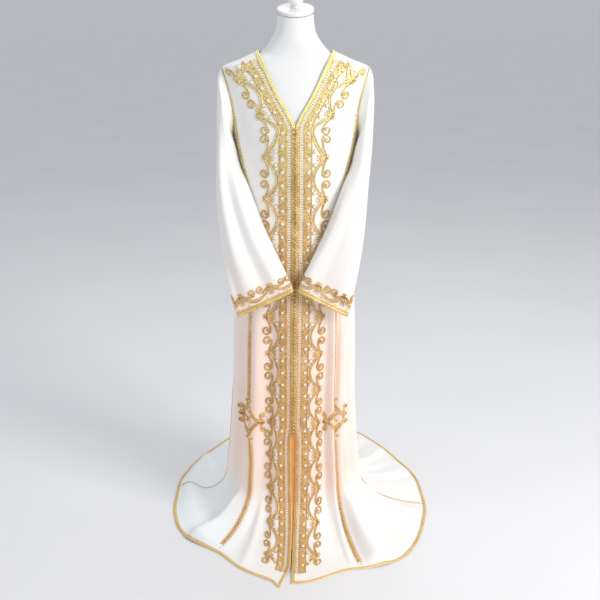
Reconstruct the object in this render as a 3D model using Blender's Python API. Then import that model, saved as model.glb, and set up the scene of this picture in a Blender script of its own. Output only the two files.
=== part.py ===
"""Moroccan kaftan on a limbless dress form.

A floor-length, front-opening robe: two centre fronts, two side fronts, one back with a short
train, and two flared sleeves whose cuffs meet at the centre front. Gold braid edges the neck,
the front opening, the hem and the cuffs, a row of small knotted buttons closes the front, and
gold piping covers the side seams and armholes. The form is a smooth torso with a capped neck
on a pole and a round base.

Axes: +Z up, the front faces -Y, and the wearer's left is +X. The origin is the centre of the
base's underside, on the floor. Lengths are in metres.

The body cloth is one surface, body_point(turn, drop). turn is the angle round the body in
degrees: 0 at the front opening, 90 at the wearer's left side seam, 180 at the centre back, 270
at the right side seam, 360 at the opening again. drop is the height above the floor while the
cloth hangs, and below BEND_HEIGHT it runs on to 0 at the hem, along the floor. Every panel,
braid and piping is a stretch of that surface, moved out where it lies on top.
"""

from collections import namedtuple

import bpy
import numpy as np

# ---- Driving dimensions ---------------------------------------------------------------------

WALL = 0.002  # cloth thickness
SEAM_HALF_GAP = 0.00018  # half of the space left between two panels
NECK_POINT_HEIGHT = 1.391  # where the shoulder seam meets the neckline
SHOULDER_TIP_HEIGHT = 1.345
NECKLINE_BOTTOM = 1.205  # the point of the V
UNDERARM_HEIGHT = 1.160
PRINCESS_LEVEL = 1.000  # first level line of the side fronts
BACK_NECK_DROP = 0.017
ARMHOLE_FRONT_TURN = 26.0  # degrees that the armhole cuts into the front and the back
ARMHOLE_BACK_TURN = 23.0
BEND_HEIGHT = 0.160  # the cloth starts to turn out along the floor here
BEND_KEEP = 0.34  # how much of the fall is kept at the bend's first control point
BEND_REACH = 0.42  # share of the run covered by the bend's second control point
CENTRE_DRIFT = -0.009  # the front opening drifts to the wearer's right as it falls

BRAID_WIDTH = 0.009
BRAID_THICK = 0.001
BRAID_GAP = 0.0005
HEM_BRAID_WIDTH = 0.011
UNDERLAP_HALF_WIDTH = 0.012
UNDERLAP_TOP = 1.195
BUTTON_RADIUS = 0.0032
BUTTON_PITCH = 0.011
BUTTON_CORD_RADIUS = 0.0012
BUTTON_GAP = 0.0012
BUTTON_TOP = 1.195
BUTTON_BOTTOM = 0.305
PIPING_RADIUS = 0.0012
PIPING_GAP = 0.0005
PIPING_INWARDS = 0.0042  # how far the armhole piping is kept towards the body
METRES_PER_DEGREE = 0.0032  # length of one degree round the body at the armhole
ARMHOLE_PIPING_GAP = 0.0014
SLEEVE_LIFT = 0.0006  # the sleeve head stands this far above the armhole's edge
SLEEVE_CLEARANCE = 0.0055  # between a sleeve and the body cloth it hangs against

BASE_RADIUS = 0.130
BASE_THICK = 0.012
COLLAR_RADIUS = 0.024
COLLAR_TOP = 0.050
POLE_RADIUS = 0.014
FORM_BOTTOM = 0.720
PART_GAP = 0.0004
CAP_RADIUS = 0.0500
CAP_THICK = 0.011
CAP_TILT = 0.29  # rise of the cap per metre towards the back
NECK_BASE_HEIGHT = 1.402  # the form's neck leans from here
NECK_TOP_HEIGHT = 1.490  # to here
KNOB_RADIUS = 0.021
CAP_PROFILE = (  # share of the cap's radius, and rise
    (0.93, 0.0),
    (1.0, 0.002),
    (1.0, CAP_THICK - 0.003),
    (0.93, CAP_THICK - 0.0005),
    (0.50, CAP_THICK),
)
KNOB_PROFILE = (  # share of the knob's radius, and rise
    (0.75, 0.0),
    (0.62, 0.006),
    (0.95, 0.014),
    (1.0, 0.021),
    (0.80, 0.029),
    (0.38, 0.033),
)

# ---- Tables ---------------------------------------------------------------------------------

Section = namedtuple("Section", "height half_width front_depth back_depth")
CLOTH_SECTIONS = (
    Section(1.391, 0.100, 0.058, 0.060),
    Section(1.368, 0.152, 0.072, 0.074),
    Section(1.345, 0.200, 0.085, 0.088),
    Section(1.300, 0.198, 0.101, 0.100),
    Section(1.225, 0.184, 0.118, 0.108),
    Section(1.160, 0.172, 0.127, 0.110),
    Section(1.050, 0.158, 0.121, 0.103),
    Section(0.980, 0.152, 0.116, 0.101),
    Section(0.850, 0.164, 0.122, 0.117),
    Section(0.750, 0.172, 0.129, 0.127),
    Section(0.600, 0.176, 0.134, 0.136),
    Section(0.450, 0.178, 0.138, 0.147),
    Section(0.300, 0.186, 0.146, 0.166),
    Section(0.160, 0.198, 0.162, 0.192),
)
FORM_SECTIONS = (
    Section(1.4900, 0.0485, 0.0485, 0.0485),
    Section(1.4650, 0.0500, 0.0500, 0.0500),
    Section(1.4400, 0.0545, 0.0525, 0.0525),
    Section(1.4180, 0.0660, 0.0545, 0.0545),
    Section(1.4020, 0.0780, 0.0535, 0.0540),
    Section(1.3870, 0.0930, 0.0535, 0.0545),
    Section(1.3640, 0.1480, 0.0680, 0.0700),
    Section(1.3410, 0.1930, 0.0800, 0.0830),
    Section(1.3000, 0.1890, 0.0965, 0.0950),
    Section(1.2250, 0.1660, 0.1130, 0.1020),
    Section(1.1600, 0.1500, 0.1210, 0.1020),
    Section(1.0800, 0.1340, 0.1080, 0.0940),
    Section(0.9800, 0.1180, 0.0920, 0.0840),
    Section(0.9000, 0.1340, 0.1000, 0.0980),
    Section(0.8000, 0.1540, 0.1090, 0.1120),
    Section(0.7400, 0.1560, 0.1090, 0.1140),
    Section(0.7200, 0.1440, 0.0980, 0.1030),
)

NeckPoint = namedtuple("NeckPoint", "height across")
NECKLINE = (
    NeckPoint(1.205, 0.0006),
    NeckPoint(1.234, 0.0150),
    NeckPoint(1.276, 0.0400),
    NeckPoint(1.369, 0.0870),
    NeckPoint(1.391, 0.1000),
)

SeamPoint = namedtuple("SeamPoint", "drop left_turn right_turn")
PRINCESS_SEAM = (
    SeamPoint(1.234, 64.5, 295.5),
    SeamPoint(1.160, 67.0, 293.0),
    SeamPoint(1.050, 59.0, 301.0),
    SeamPoint(0.900, 50.0, 311.0),
    SeamPoint(0.600, 41.0, 316.0),
    SeamPoint(0.380, 41.0, 316.0),
    SeamPoint(0.200, 41.0, 323.0),
    SeamPoint(0.000, 41.0, 323.0),
)

# Half of the space between the two front edges: closed, slightly open low down, closed again.
EdgeGap = namedtuple("EdgeGap", "drop half_gap")
FRONT_EDGES = (
    EdgeGap(0.000, 0.0006),
    EdgeGap(0.080, 0.0006),
    EdgeGap(0.160, 0.0035),
    EdgeGap(0.230, 0.0032),
    EdgeGap(0.310, 0.0006),
    EdgeGap(1.391, 0.0006),
)

# Where the hem lies on the floor.
HemPoint = namedtuple("HemPoint", "turn x y")
HEM = (
    HemPoint(0, -0.014, -0.424),
    HemPoint(8, 0.029, -0.420),
    HemPoint(18, 0.082, -0.396),
    HemPoint(32, 0.143, -0.364),
    HemPoint(48, 0.231, -0.345),
    HemPoint(58, 0.296, -0.313),
    HemPoint(67, 0.341, -0.255),
    HemPoint(79, 0.388, -0.128),
    HemPoint(90, 0.409, -0.002),
    HemPoint(100, 0.404, 0.132),
    HemPoint(113, 0.350, 0.286),
    HemPoint(126, 0.292, 0.402),
    HemPoint(142, 0.212, 0.510),
    HemPoint(160, 0.115, 0.580),
    HemPoint(180, 0.000, 0.605),
    HemPoint(199, -0.120, 0.570),
    HemPoint(216, -0.220, 0.480),
    HemPoint(232, -0.300, 0.360),
    HemPoint(250, -0.362, 0.235),
    HemPoint(270, -0.388, 0.110),
    HemPoint(288, -0.386, -0.010),
    HemPoint(300, -0.364, -0.126),
    HemPoint(309, -0.322, -0.203),
    HemPoint(316, -0.278, -0.238),
    HemPoint(325, -0.222, -0.280),
    HemPoint(335, -0.160, -0.350),
    HemPoint(347, -0.090, -0.398),
    HemPoint(360, -0.016, -0.427),
)
RIGHT_CORNER_FLARE = (-0.026, -0.016)  # the right front's corner swings out at the hem
CORNER_FLARE_TURN = 6.0
CORNER_FLARE_START = 0.80

# Soft folds that fall from the hips: depth is out from the body, or in where it is negative.
Fold = namedtuple("Fold", "turn_high turn_low top depth width")
FOLDS = (
    Fold(33, 30, 0.84, -0.007, 7),
    Fold(47, 46, 0.84, 0.011, 9),
    Fold(62, 62, 0.80, -0.012, 9),
    Fold(78, 79, 0.80, 0.007, 8),
    Fold(103, 105, 0.90, -0.011, 9),
    Fold(123, 124, 0.95, 0.012, 10),
    Fold(144, 142, 0.92, -0.013, 9),
    Fold(163, 161, 0.98, 0.014, 10),
    Fold(182, 183, 0.95, -0.012, 9),
    Fold(201, 203, 0.98, 0.014, 10),
    Fold(221, 224, 0.92, -0.013, 10),
    Fold(241, 243, 0.95, 0.011, 9),
    Fold(258, 259, 0.88, -0.009, 8),
    Fold(282, 281, 0.80, 0.006, 8),
    Fold(300, 300, 0.84, -0.017, 10),
    Fold(323, 322, 0.84, 0.013, 9),
    Fold(338, 337, 0.84, -0.011, 8),
)
FOLD_FADE = 0.30  # a fold comes in over this height
FLOOR_LIFT = 1.5  # how far a fold's depth lifts the cloth on the floor

# Low humps in the cloth on the floor: the rolled edge of the train and the folds beside it.
Hump = namedtuple("Hump", "turn width along length lift")
HUMPS = (
    Hump(262, 26, 0.84, 0.12, 0.024),
    Hump(300, 13, 0.80, 0.14, 0.010),
    Hump(234, 22, 0.86, 0.12, 0.016),
    Hump(180, 24, 0.88, 0.12, 0.010),
    Hump(57, 9, 0.62, 0.26, 0.020),
    Hump(76, 8, 0.80, 0.20, 0.008),
    Hump(98, 6, 0.70, 0.30, 0.009),
    Hump(113, 6, 0.70, 0.30, 0.010),
    Hump(128, 6, 0.70, 0.30, 0.011),
)

# Rings of the two sleeves from just below the armhole to the cuff. Station
# runs from 0 at the first ring to 1 at the cuff's edge. The outer end of a ring is at left_x or
# right_x from the centre, for the wearer's left or right arm, and the inner end at inner_x.
# middle_y is the ring's depth, and half_deep half its thickness from front to back.
SleeveRing = namedtuple("SleeveRing", "station left_x right_x outer_z inner_x inner_z middle_y half_deep")
SLEEVE_RINGS = (
    SleeveRing(0.00, 0.2110, 0.2110, 1.318, 0.1680, 1.150, 0.000, 0.0640),
    SleeveRing(0.10, 0.2145, 0.2150, 1.255, 0.1620, 1.125, -0.004, 0.0680),
    SleeveRing(0.24, 0.2120, 0.2165, 1.160, 0.1560, 1.090, -0.016, 0.0680),
    SleeveRing(0.44, 0.2010, 0.2185, 1.035, 0.1350, 1.040, -0.058, 0.0600),
    SleeveRing(0.65, 0.1880, 0.2080, 0.900, 0.0860, 0.928, -0.110, 0.0430),
    SleeveRing(0.82, 0.1700, 0.1900, 0.795, 0.0420, 0.840, -0.140, 0.0210),
    SleeveRing(0.97, 0.1500, 0.1670, 0.700, 0.0110, 0.772, -0.152, 0.0110),
    SleeveRing(1.00, 0.1450, 0.1610, 0.682, 0.0065, 0.756, -0.153, 0.0100),
)
SLEEVE_STATIONS = (0.0, 0.08, 0.16, 0.24, 0.31, 0.38, 0.45, 0.52, 0.59, 0.66, 0.74, 0.82, 0.90, 0.97, 1.0)
SLEEVE_SIDES = 20

# Rows and columns of the panels' grids.
BODICE_STEPS = (0.0, 0.008, 0.035, 0.09, 0.18, 0.30, 0.44, 0.60, 0.78, 1.0)
PRINCESS_STEP = 7  # the bodice step at which the princess seam leaves the armhole
HANGING_ROWS = (1.08, 1.00, 0.92, 0.84, 0.75, 0.66, 0.55, 0.44, 0.34, 0.25, 0.16)
FLOOR_ROWS = (0.130, 0.100, 0.072, 0.048, 0.026)
FRONT_COLUMNS = (0.30, 0.54, 0.77, 1.0)
SIDE_COLUMNS = 6
BACK_SHOULDER_COLUMNS = 4
BACK_NECK_COLUMNS = 5

Finish = namedtuple("Finish", "colour roughness metallic")
CLOTH = Finish((0.93, 0.90, 0.86), 0.45, 0.0)
GOLD_BRAID = Finish((0.80, 0.58, 0.22), 0.35, 0.8)
AMBER_SATIN = Finish((0.75, 0.38, 0.12), 0.5, 0.2)
FORM_COVER = Finish((0.90, 0.89, 0.86), 0.55, 0.0)
STEEL = Finish((0.62, 0.62, 0.64), 0.3, 1.0)


# ---- Curves through tables ------------------------------------------------------------------


def through(table, key, column, at):
    """A smooth curve through a table's column that never overshoots it (a monotone cubic)."""
    rows = sorted(table, key=lambda row: getattr(row, key))
    xs = np.array([getattr(row, key) for row in rows], float)
    ys = np.array([getattr(row, column) for row in rows], float)
    steps, slopes = np.diff(xs), np.diff(ys) / np.diff(xs)
    tangents = np.zeros(len(xs))
    tangents[0], tangents[-1] = slopes[0], slopes[-1]
    inner = slopes[:-1] * slopes[1:] > 0
    weight_a = 2 * steps[1:] + steps[:-1]
    weight_b = steps[1:] + 2 * steps[:-1]
    safe = np.where(inner, slopes[:-1] * slopes[1:], 1.0)
    mean = (weight_a + weight_b) * safe / (weight_a * slopes[1:] + weight_b * slopes[:-1] + ~inner)
    tangents[1:-1] = np.where(inner, mean, 0.0)
    at = np.clip(np.asarray(at, float), xs[0], xs[-1])
    i = np.clip(np.searchsorted(xs, at) - 1, 0, len(steps) - 1)
    k = (at - xs[i]) / steps[i]
    rise = ys[i] * (1 + 2 * k) * (1 - k) ** 2 + ys[i + 1] * k * k * (3 - 2 * k)
    return rise + steps[i] * (tangents[i] * k * (1 - k) ** 2 - tangents[i + 1] * k * k * (1 - k))


def ease(low, high, at):
    """0 below low, 1 above high, and a smooth step between."""
    k = np.clip((np.asarray(at, float) - low) / (high - low), 0, 1)
    return k * k * (3 - 2 * k)


def bump(distance, width):
    return np.exp(-((distance / width) ** 2))


# ---- The body cloth -------------------------------------------------------------------------


def ring_point(sections, turn, height):
    """A point on the oval section at that height: two half ovals, front and back."""
    angle = np.radians(turn)
    wide = through(sections, "height", "half_width", height)
    front = through(sections, "height", "front_depth", height)
    back = through(sections, "height", "back_depth", height)
    deep = np.where(np.cos(angle) > 0, front, back)
    return wide * np.sin(angle), -deep * np.cos(angle)


def fold_depth(turn, height):
    """How far the folds move the hanging cloth out from its oval section."""
    total = np.zeros(np.broadcast(turn, height).shape)
    for fold in FOLDS:
        share = ease(BEND_HEIGHT, fold.top, height)
        middle = fold.turn_low + (fold.turn_high - fold.turn_low) * share
        strength = 1 - ease(fold.top - FOLD_FADE, fold.top, height)
        total = total + fold.depth * strength * bump(turn - middle, fold.width)
    return total


def hanging_point(turn, height):
    x, y = ring_point(CLOTH_SECTIONS, turn, height)
    angle = np.radians(turn)
    out = fold_depth(turn, height)
    drift = CENTRE_DRIFT * (1 - ease(0, NECKLINE_BOTTOM, height))
    return x + out * np.sin(angle) + drift, y - out * np.cos(angle)


def body_point(turn, drop):
    """The body cloth's outer surface, as an array with x, y, z in its last axis."""
    turn, drop = np.broadcast_arrays(np.asarray(turn, float), np.asarray(drop, float))
    x, y = hanging_point(turn, np.maximum(drop, BEND_HEIGHT))
    along = np.clip(1 - drop / BEND_HEIGHT, 0, 1)
    run = 3 * (1 - along) * along**2 * BEND_REACH + along**3
    fall = (1 - along) ** 2 * ((1 - along) + 3 * along * BEND_KEEP)
    flare = bump(360 - turn, CORNER_FLARE_TURN) * ease(CORNER_FLARE_START, 1, along)
    hem_x = through(HEM, "turn", "x", turn) + RIGHT_CORNER_FLARE[0] * flare
    hem_y = through(HEM, "turn", "y", turn) + RIGHT_CORNER_FLARE[1] * flare
    lift = sum(
        hump.lift * bump(turn - hump.turn, hump.width) * bump(along - hump.along, hump.length)
        for hump in HUMPS
    )
    ridges = np.maximum(fold_depth(turn, np.full(turn.shape, BEND_HEIGHT)), 0)
    lift = (lift + FLOOR_LIFT * ridges * along * (1 - along) * 2) * ease(0, 0.35, along)
    lift = lift * (1 - 0.85 * ease(0.90, 1, along))
    on_floor = WALL + lift + BEND_HEIGHT * fall * (1 - WALL / BEND_HEIGHT)
    z = np.where(drop >= BEND_HEIGHT, drop, on_floor)
    return np.stack([x + (hem_x - x) * run, y + (hem_y - y) * run, z], axis=-1)


def body_normal(turn, drop):
    """The unit normal that points out of the body cloth, from small steps along the surface."""
    small_turn, small_drop = 0.2, 0.0004
    turn, drop = np.asarray(turn, float), np.asarray(drop, float)
    low = np.maximum(drop - small_drop, 0)
    high = np.minimum(drop + small_drop, NECK_POINT_HEIGHT)
    across = body_point(turn + small_turn, drop) - body_point(turn - small_turn, drop)
    up = body_point(turn, high) - body_point(turn, low)
    normal = np.cross(across, up)
    return normal / np.linalg.norm(normal, axis=-1, keepdims=True)


def turn_step(turn, drop, distance):
    """The change of turn, in degrees, that moves that distance round the cloth."""
    across = body_point(turn + 0.5, drop) - body_point(turn - 0.5, drop)
    return distance / np.linalg.norm(across, axis=-1)


# ---- Seams ----------------------------------------------------------------------------------


def crest_height(across):
    """Height of the shoulder line at a distance from the centre."""
    heights = np.linspace(SHOULDER_TIP_HEIGHT, NECK_POINT_HEIGHT, 60)
    widths = through(CLOTH_SECTIONS, "height", "half_width", heights)
    return np.interp(across, widths[::-1], heights[::-1])


def armhole(share, into_front):
    """Turn and drop on the left armhole: share runs from the shoulder tip, 0, to the underarm, 1."""
    middle = (SHOULDER_TIP_HEIGHT + UNDERARM_HEIGHT) / 2
    half = (SHOULDER_TIP_HEIGHT - UNDERARM_HEIGHT) / 2
    swing = -ARMHOLE_FRONT_TURN if into_front else ARMHOLE_BACK_TURN
    angle = np.pi * np.asarray(share, float)
    return 90 + swing * np.sin(angle), middle + half * np.cos(angle)


def armhole_turn(drop, into_front):
    """The left armhole's turn at a height."""
    shares = np.linspace(0, 1, 80)
    turns, drops = armhole(shares, into_front)
    return np.interp(drop, drops[::-1], turns[::-1])


def armhole_heights():
    """Heights of the panels' rows at the armhole, from the shoulder tip to the underarm."""
    return SHOULDER_TIP_HEIGHT + (UNDERARM_HEIGHT - SHOULDER_TIP_HEIGHT) * np.array(BODICE_STEPS)


def front_edge_turn(side, drop):
    """Turn of the front opening's edge on one side, +1 for the wearer's left, -1 for the right."""
    gap = through(FRONT_EDGES, "drop", "half_gap", drop)
    step = turn_step(np.full(np.shape(drop), 2.0), drop, gap)
    return step if side > 0 else 360 - step


def princess_turn(side, drop):
    column = "left_turn" if side > 0 else "right_turn"
    return through(PRINCESS_SEAM, "drop", column, drop)


def mirrored(side, turn):
    """The turn of a point of the left half on the side asked for."""
    return turn if side > 0 else 360 - turn


# ---- Panel grids: arrays of turn and drop, one row for each level ---------------------------


def coons(left, right, top, bottom):
    """A grid of points between four edges that meet at their ends."""
    rows, columns = len(left), len(top)
    v = np.linspace(0, 1, rows)[:, None, None]
    u = np.linspace(0, 1, columns)[None, :, None]
    ruled_across = left[:, None] * (1 - u) + right[:, None] * u
    ruled_down = top[None] * (1 - v) + bottom[None] * v
    corners = (
        (top[0] * (1 - u) + top[-1] * u) * (1 - v) + (bottom[0] * (1 - u) + bottom[-1] * u) * v
    )
    return ruled_across + ruled_down - corners


def hem_rows(turns):
    """Drops of the last two rows, for each column: the top of the hem braid, and the hem."""
    near_hem = body_point(turns, np.full(turns.shape, 0.004))
    slope = np.linalg.norm(near_hem - body_point(turns, np.zeros(turns.shape)), axis=-1) / 0.004
    return np.stack([HEM_BRAID_WIDTH / slope, np.zeros(turns.shape)])


def with_lower_rows(turns, drops, turn_of_row, levels):
    """Adds a row for each level below the bodice, and the two hem rows."""
    for level in levels:
        row = turn_of_row(level)
        turns = np.vstack([turns, row])
        drops = np.vstack([drops, np.full(len(row), level)])
    last = turn_of_row(0.0)
    turns = np.vstack([turns, last, last])
    return turns, np.vstack([drops, hem_rows(last)])



def centre_front_grid(side):
    """The centre front: neckline and opening on one side, armhole and princess seam on the other."""
    steps = np.array(BODICE_STEPS)
    left_z = NECK_POINT_HEIGHT + (UNDERARM_HEIGHT - NECK_POINT_HEIGHT) * steps
    right_z = armhole_heights()
    princess_top = right_z[PRINCESS_STEP]
    left_x = through(NECKLINE, "height", "across", left_z)
    wide = through(CLOTH_SECTIONS, "height", "half_width", right_z)
    right_turn = np.where(
        right_z > princess_top, armhole_turn(right_z, True), mirrored(side, princess_turn(side, right_z))
    )
    right_x = wide * np.sin(np.radians(right_turn))
    low_turn = np.degrees(np.arcsin(left_x[-1] / wide[-1]))
    braid_share = BRAID_WIDTH / (right_x[-1] - left_x[-1])
    shares = np.array([0.0, braid_share, *FRONT_COLUMNS])
    top_x = left_x[0] + (right_x[0] - left_x[0]) * shares
    top = np.stack([top_x, crest_height(top_x)], axis=-1)
    bottom_turn = low_turn + (right_turn[-1] - low_turn) * shares
    bottom = np.stack(
        [wide[-1] * np.sin(np.radians(bottom_turn)), np.full(len(shares), UNDERARM_HEIGHT)], axis=-1
    )
    u = shares[None, :]
    v = steps[:, None]
    x = left_x[:, None] * (1 - u) + right_x[:, None] * u
    x = x + (bottom[:, 0] - (left_x[-1] * (1 - u) + right_x[-1] * u)) * v
    z = left_z[:, None] * (1 - u) + right_z[:, None] * u
    z = z + (top[:, 1] - (left_z[0] * (1 - u) + right_z[0] * u)) * (1 - v)
    # The first column after the edge keeps the braid's width all the way up the neckline.
    fall = np.maximum(np.abs(np.gradient(left_z)), 1e-6)
    lean = np.hypot(np.gradient(left_x), np.gradient(left_z)) / fall
    x[2:, 1] = left_x[2:] + BRAID_WIDTH * lean[2:]
    x[0:2, 1] = left_x[0:2] + BRAID_WIDTH
    wide_here = through(CLOTH_SECTIONS, "height", "half_width", z)
    turns = np.degrees(np.arcsin(np.clip(x / wide_here, -1, 1)))
    seam = turn_step(np.full(turns.shape, 89.0), z, SEAM_HALF_GAP)
    turns = np.minimum(turns, 90 - seam)
    inner = mirrored(side, princess_turn(side, z[:, -1])) - turn_step(turns[:, -1], z[:, -1], SEAM_HALF_GAP)
    turns[:, -1] = np.where(z[:, -1] <= princess_top, inner, turns[:, -1])

    def row(drop):
        start = mirrored(side, front_edge_turn(side, drop))
        stop = mirrored(side, princess_turn(side, drop))
        stop = stop - turn_step(mirrored(side, stop), drop, SEAM_HALF_GAP)
        braid = turn_step(mirrored(side, 3.0), drop, BRAID_WIDTH)
        return np.array([start, start + braid] + [start + (stop - start) * s for s in FRONT_COLUMNS])

    turns, drops = with_lower_rows(turns, z, row, HANGING_ROWS + FLOOR_ROWS)
    return mirrored(side, turns), drops


def side_front_grid(side):
    """The side front: under the armhole at the top, princess seam in front, side seam behind."""
    above = [level for level in HANGING_ROWS if level >= PRINCESS_LEVEL]
    left_drop = np.concatenate([armhole_heights()[PRINCESS_STEP:], above])
    left_turn = mirrored(side, princess_turn(side, left_drop))
    rows = len(left_drop)
    shares = np.linspace(0, 1, SIDE_COLUMNS + 1)
    armhole_height = SHOULDER_TIP_HEIGHT - UNDERARM_HEIGHT
    swing = (SHOULDER_TIP_HEIGHT + UNDERARM_HEIGHT - 2 * left_drop[0]) / armhole_height
    top_share = np.arccos(-swing) / np.pi
    top_turn, top_drop = armhole(top_share + (1 - top_share) * shares, True)
    right_drop = np.linspace(UNDERARM_HEIGHT, PRINCESS_LEVEL, rows)
    left = np.stack([left_turn, left_drop], axis=-1)
    right = np.stack([np.full(rows, 90.0), right_drop], axis=-1)
    low = left_turn[-1] + (90 - left_turn[-1]) * shares
    bottom = np.stack([low, np.full(len(shares), PRINCESS_LEVEL)], axis=-1)
    grid = coons(left, right, np.stack([top_turn, top_drop], axis=-1), bottom)
    turns, drops = grid[..., 0], grid[..., 1]
    turns[:, 0] += turn_step(turns[:, 0], drops[:, 0], SEAM_HALF_GAP)
    turns[:, -1] -= turn_step(turns[:, -1], drops[:, -1], SEAM_HALF_GAP)

    def row(drop):
        start = mirrored(side, princess_turn(side, drop))
        start = start + turn_step(mirrored(side, start), drop, SEAM_HALF_GAP)
        stop = 90 - turn_step(mirrored(side, 90.0), drop, SEAM_HALF_GAP)
        return start + (stop - start) * shares

    levels = tuple(level for level in HANGING_ROWS if level < PRINCESS_LEVEL) + FLOOR_ROWS
    turns, drops = with_lower_rows(turns, drops, row, levels)
    return mirrored(side, turns), drops


def back_grid():
    """The back, in one piece from side seam to side seam, with the back neckline cut out."""
    steps = np.array(BODICE_STEPS)
    side_z = armhole_heights()
    wide = through(CLOTH_SECTIONS, "height", "half_width", side_z)
    side_x = wide * np.sin(np.radians(armhole_turn(side_z, False)))
    neck_x = float(through(CLOTH_SECTIONS, "height", "half_width", NECK_POINT_HEIGHT))
    shoulder_x = np.linspace(side_x[0], neck_x, BACK_SHOULDER_COLUMNS + 1)
    neck_share = np.linspace(0, 1, BACK_NECK_COLUMNS + 1)[1:]
    scoop_x = neck_x * (1 - neck_share)
    scoop_z = NECK_POINT_HEIGHT - BACK_NECK_DROP * np.sin(neck_share * np.pi / 2)
    top_x = np.concatenate([shoulder_x, scoop_x])
    top_z = np.concatenate([crest_height(shoulder_x), scoop_z])
    centre_z = scoop_z[-1] + (UNDERARM_HEIGHT - scoop_z[-1]) * steps
    columns = len(top_x)
    low_turn = np.linspace(90, 180, columns)
    low_x = wide[-1] * np.sin(np.radians(low_turn))
    u = np.linspace(0, 1, columns)[None, :]
    v = steps[:, None]
    x = side_x[:, None] * (1 - u)
    x = x + (top_x - side_x[0] * (1 - u)) * (1 - v) + (low_x - side_x[-1] * (1 - u)) * v
    z = side_z[:, None] * (1 - u) + centre_z[:, None] * u
    z = z + (top_z - (side_z[0] * (1 - u) + centre_z[0] * u)) * (1 - v)
    wide_here = through(CLOTH_SECTIONS, "height", "half_width", z)
    turns = 180 - np.degrees(np.arcsin(np.clip(x / wide_here, -1, 1)))
    turns = np.maximum(turns, 90 + turn_step(np.full(turns.shape, 91.0), z, SEAM_HALF_GAP))
    turns = np.hstack([turns, 360 - turns[:, -2::-1]])
    drops = np.hstack([z, z[:, -2::-1]])

    def row(drop):
        start = 90 + turn_step(90.0, drop, SEAM_HALF_GAP)
        stop = 270 - turn_step(270.0, drop, SEAM_HALF_GAP)
        return np.linspace(start, stop, 2 * columns - 1)

    return with_lower_rows(turns, drops, row, HANGING_ROWS + FLOOR_ROWS)


# ---- Meshes ---------------------------------------------------------------------------------


def material_for(name, finish):
    material = bpy.data.materials.get(name) or bpy.data.materials.new(name)
    material.use_nodes = True
    shader = material.node_tree.nodes["Principled BSDF"]
    shader.inputs["Base Color"].default_value = (*finish.colour, 1)
    shader.inputs["Roughness"].default_value = finish.roughness
    shader.inputs["Metallic"].default_value = finish.metallic
    material.diffuse_color = (*finish.colour, 1)
    return material


def add_object(name, points, faces, material):
    """A mesh object from points and faces, turned so that its faces point out."""
    points = np.asarray(points, float)
    volume = 0.0
    for face in faces:
        corners = points[list(face)]
        for i in range(1, len(face) - 1):
            volume += np.dot(corners[0], np.cross(corners[i], corners[i + 1]))
    if volume < 0:
        faces = [tuple(reversed(face)) for face in faces]
    mesh = bpy.data.meshes.new(name)
    mesh.from_pydata([tuple(p) for p in points], [], faces)
    mesh.shade_smooth()
    mesh.set_sharp_from_angle(angle=np.radians(40))
    mesh.materials.append(material)
    made = bpy.data.objects.new(name, mesh)
    bpy.context.scene.collection.objects.link(made)
    return made


def slab(name, top, bottom, material):
    """A closed wall between two grids of points with the same rows and columns."""
    rows, columns = top.shape[:2]
    count = rows * columns
    faces = []
    for r in range(rows - 1):
        for c in range(columns - 1):
            a, b = r * columns + c, r * columns + c + 1
            low_a, low_b = a + columns, b + columns
            faces += [(a, b, low_b), (a, low_b, low_a)]
            faces += [(count + low_b, count + b, count + a), (count + low_a, count + low_b, count + a)]
    edge = [c for c in range(columns)]
    edge += [r * columns + columns - 1 for r in range(1, rows)]
    edge += [(rows - 1) * columns + c for c in range(columns - 2, -1, -1)]
    edge += [r * columns for r in range(rows - 2, 0, -1)]
    for a, b in zip(edge, edge[1:] + edge[:1]):
        faces.append((b, a, count + a, count + b))
    points = np.concatenate([top.reshape(-1, 3), bottom.reshape(-1, 3)])
    return add_object(name, points, faces, material)


def tube_wall(name, outer, inner, material):
    """A wall between two open tubes: each is an array of rings of points."""
    rings, sides = outer.shape[:2]
    count = rings * sides
    faces = []
    for r in range(rings - 1):
        for s in range(sides):
            t = (s + 1) % sides
            a, b, c, d = r * sides + s, r * sides + t, (r + 1) * sides + t, (r + 1) * sides + s
            faces += [(a, b, c), (a, c, d)]
            faces += [(count + c, count + b, count + a), (count + d, count + c, count + a)]
    for s in range(sides):
        t = (s + 1) % sides
        faces.append((t, s, count + s, count + t))
        last = (rings - 1) * sides
        faces.append((last + s, last + t, count + last + t, count + last + s))
    points = np.concatenate([outer.reshape(-1, 3), inner.reshape(-1, 3)])
    return add_object(name, points, faces, material)


def solid_rings(name, rings, material):
    """A closed solid through rings of points, with a flat cap at each end."""
    count, sides = rings.shape[:2]
    faces = [tuple(range(sides)), tuple(reversed(range((count - 1) * sides, count * sides)))]
    for r in range(count - 1):
        for s in range(sides):
            t = (s + 1) % sides
            faces.append((r * sides + t, r * sides + s, (r + 1) * sides + s, (r + 1) * sides + t))
    return add_object(name, rings.reshape(-1, 3), faces, material)


def rings_along(path, normals, radii, sides):
    """Rings of points round a path, one for each of its points."""
    ahead = np.gradient(path, axis=0)
    ahead /= np.linalg.norm(ahead, axis=-1, keepdims=True)
    sideways = np.cross(ahead, normals)
    sideways /= np.linalg.norm(sideways, axis=-1, keepdims=True)
    upward = np.cross(sideways, ahead)
    angles = np.arange(sides) * 2 * np.pi / sides
    circle = np.cos(angles)[None, :, None] * sideways[:, None]
    circle = circle + np.sin(angles)[None, :, None] * upward[:, None]
    return path[:, None] + circle * np.asarray(radii)[:, None, None]


# ---- The kaftan -----------------------------------------------------------------------------


def wall_from(name, turns, drops, material, depth_out=0.0, thickness=WALL):
    """A slab on the body cloth: its top is depth_out above the cloth's outer surface."""
    points, normals = body_point(turns, drops), body_normal(turns, drops)
    top = points + normals * depth_out
    return slab(name, top, top - normals * thickness, material)


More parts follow.
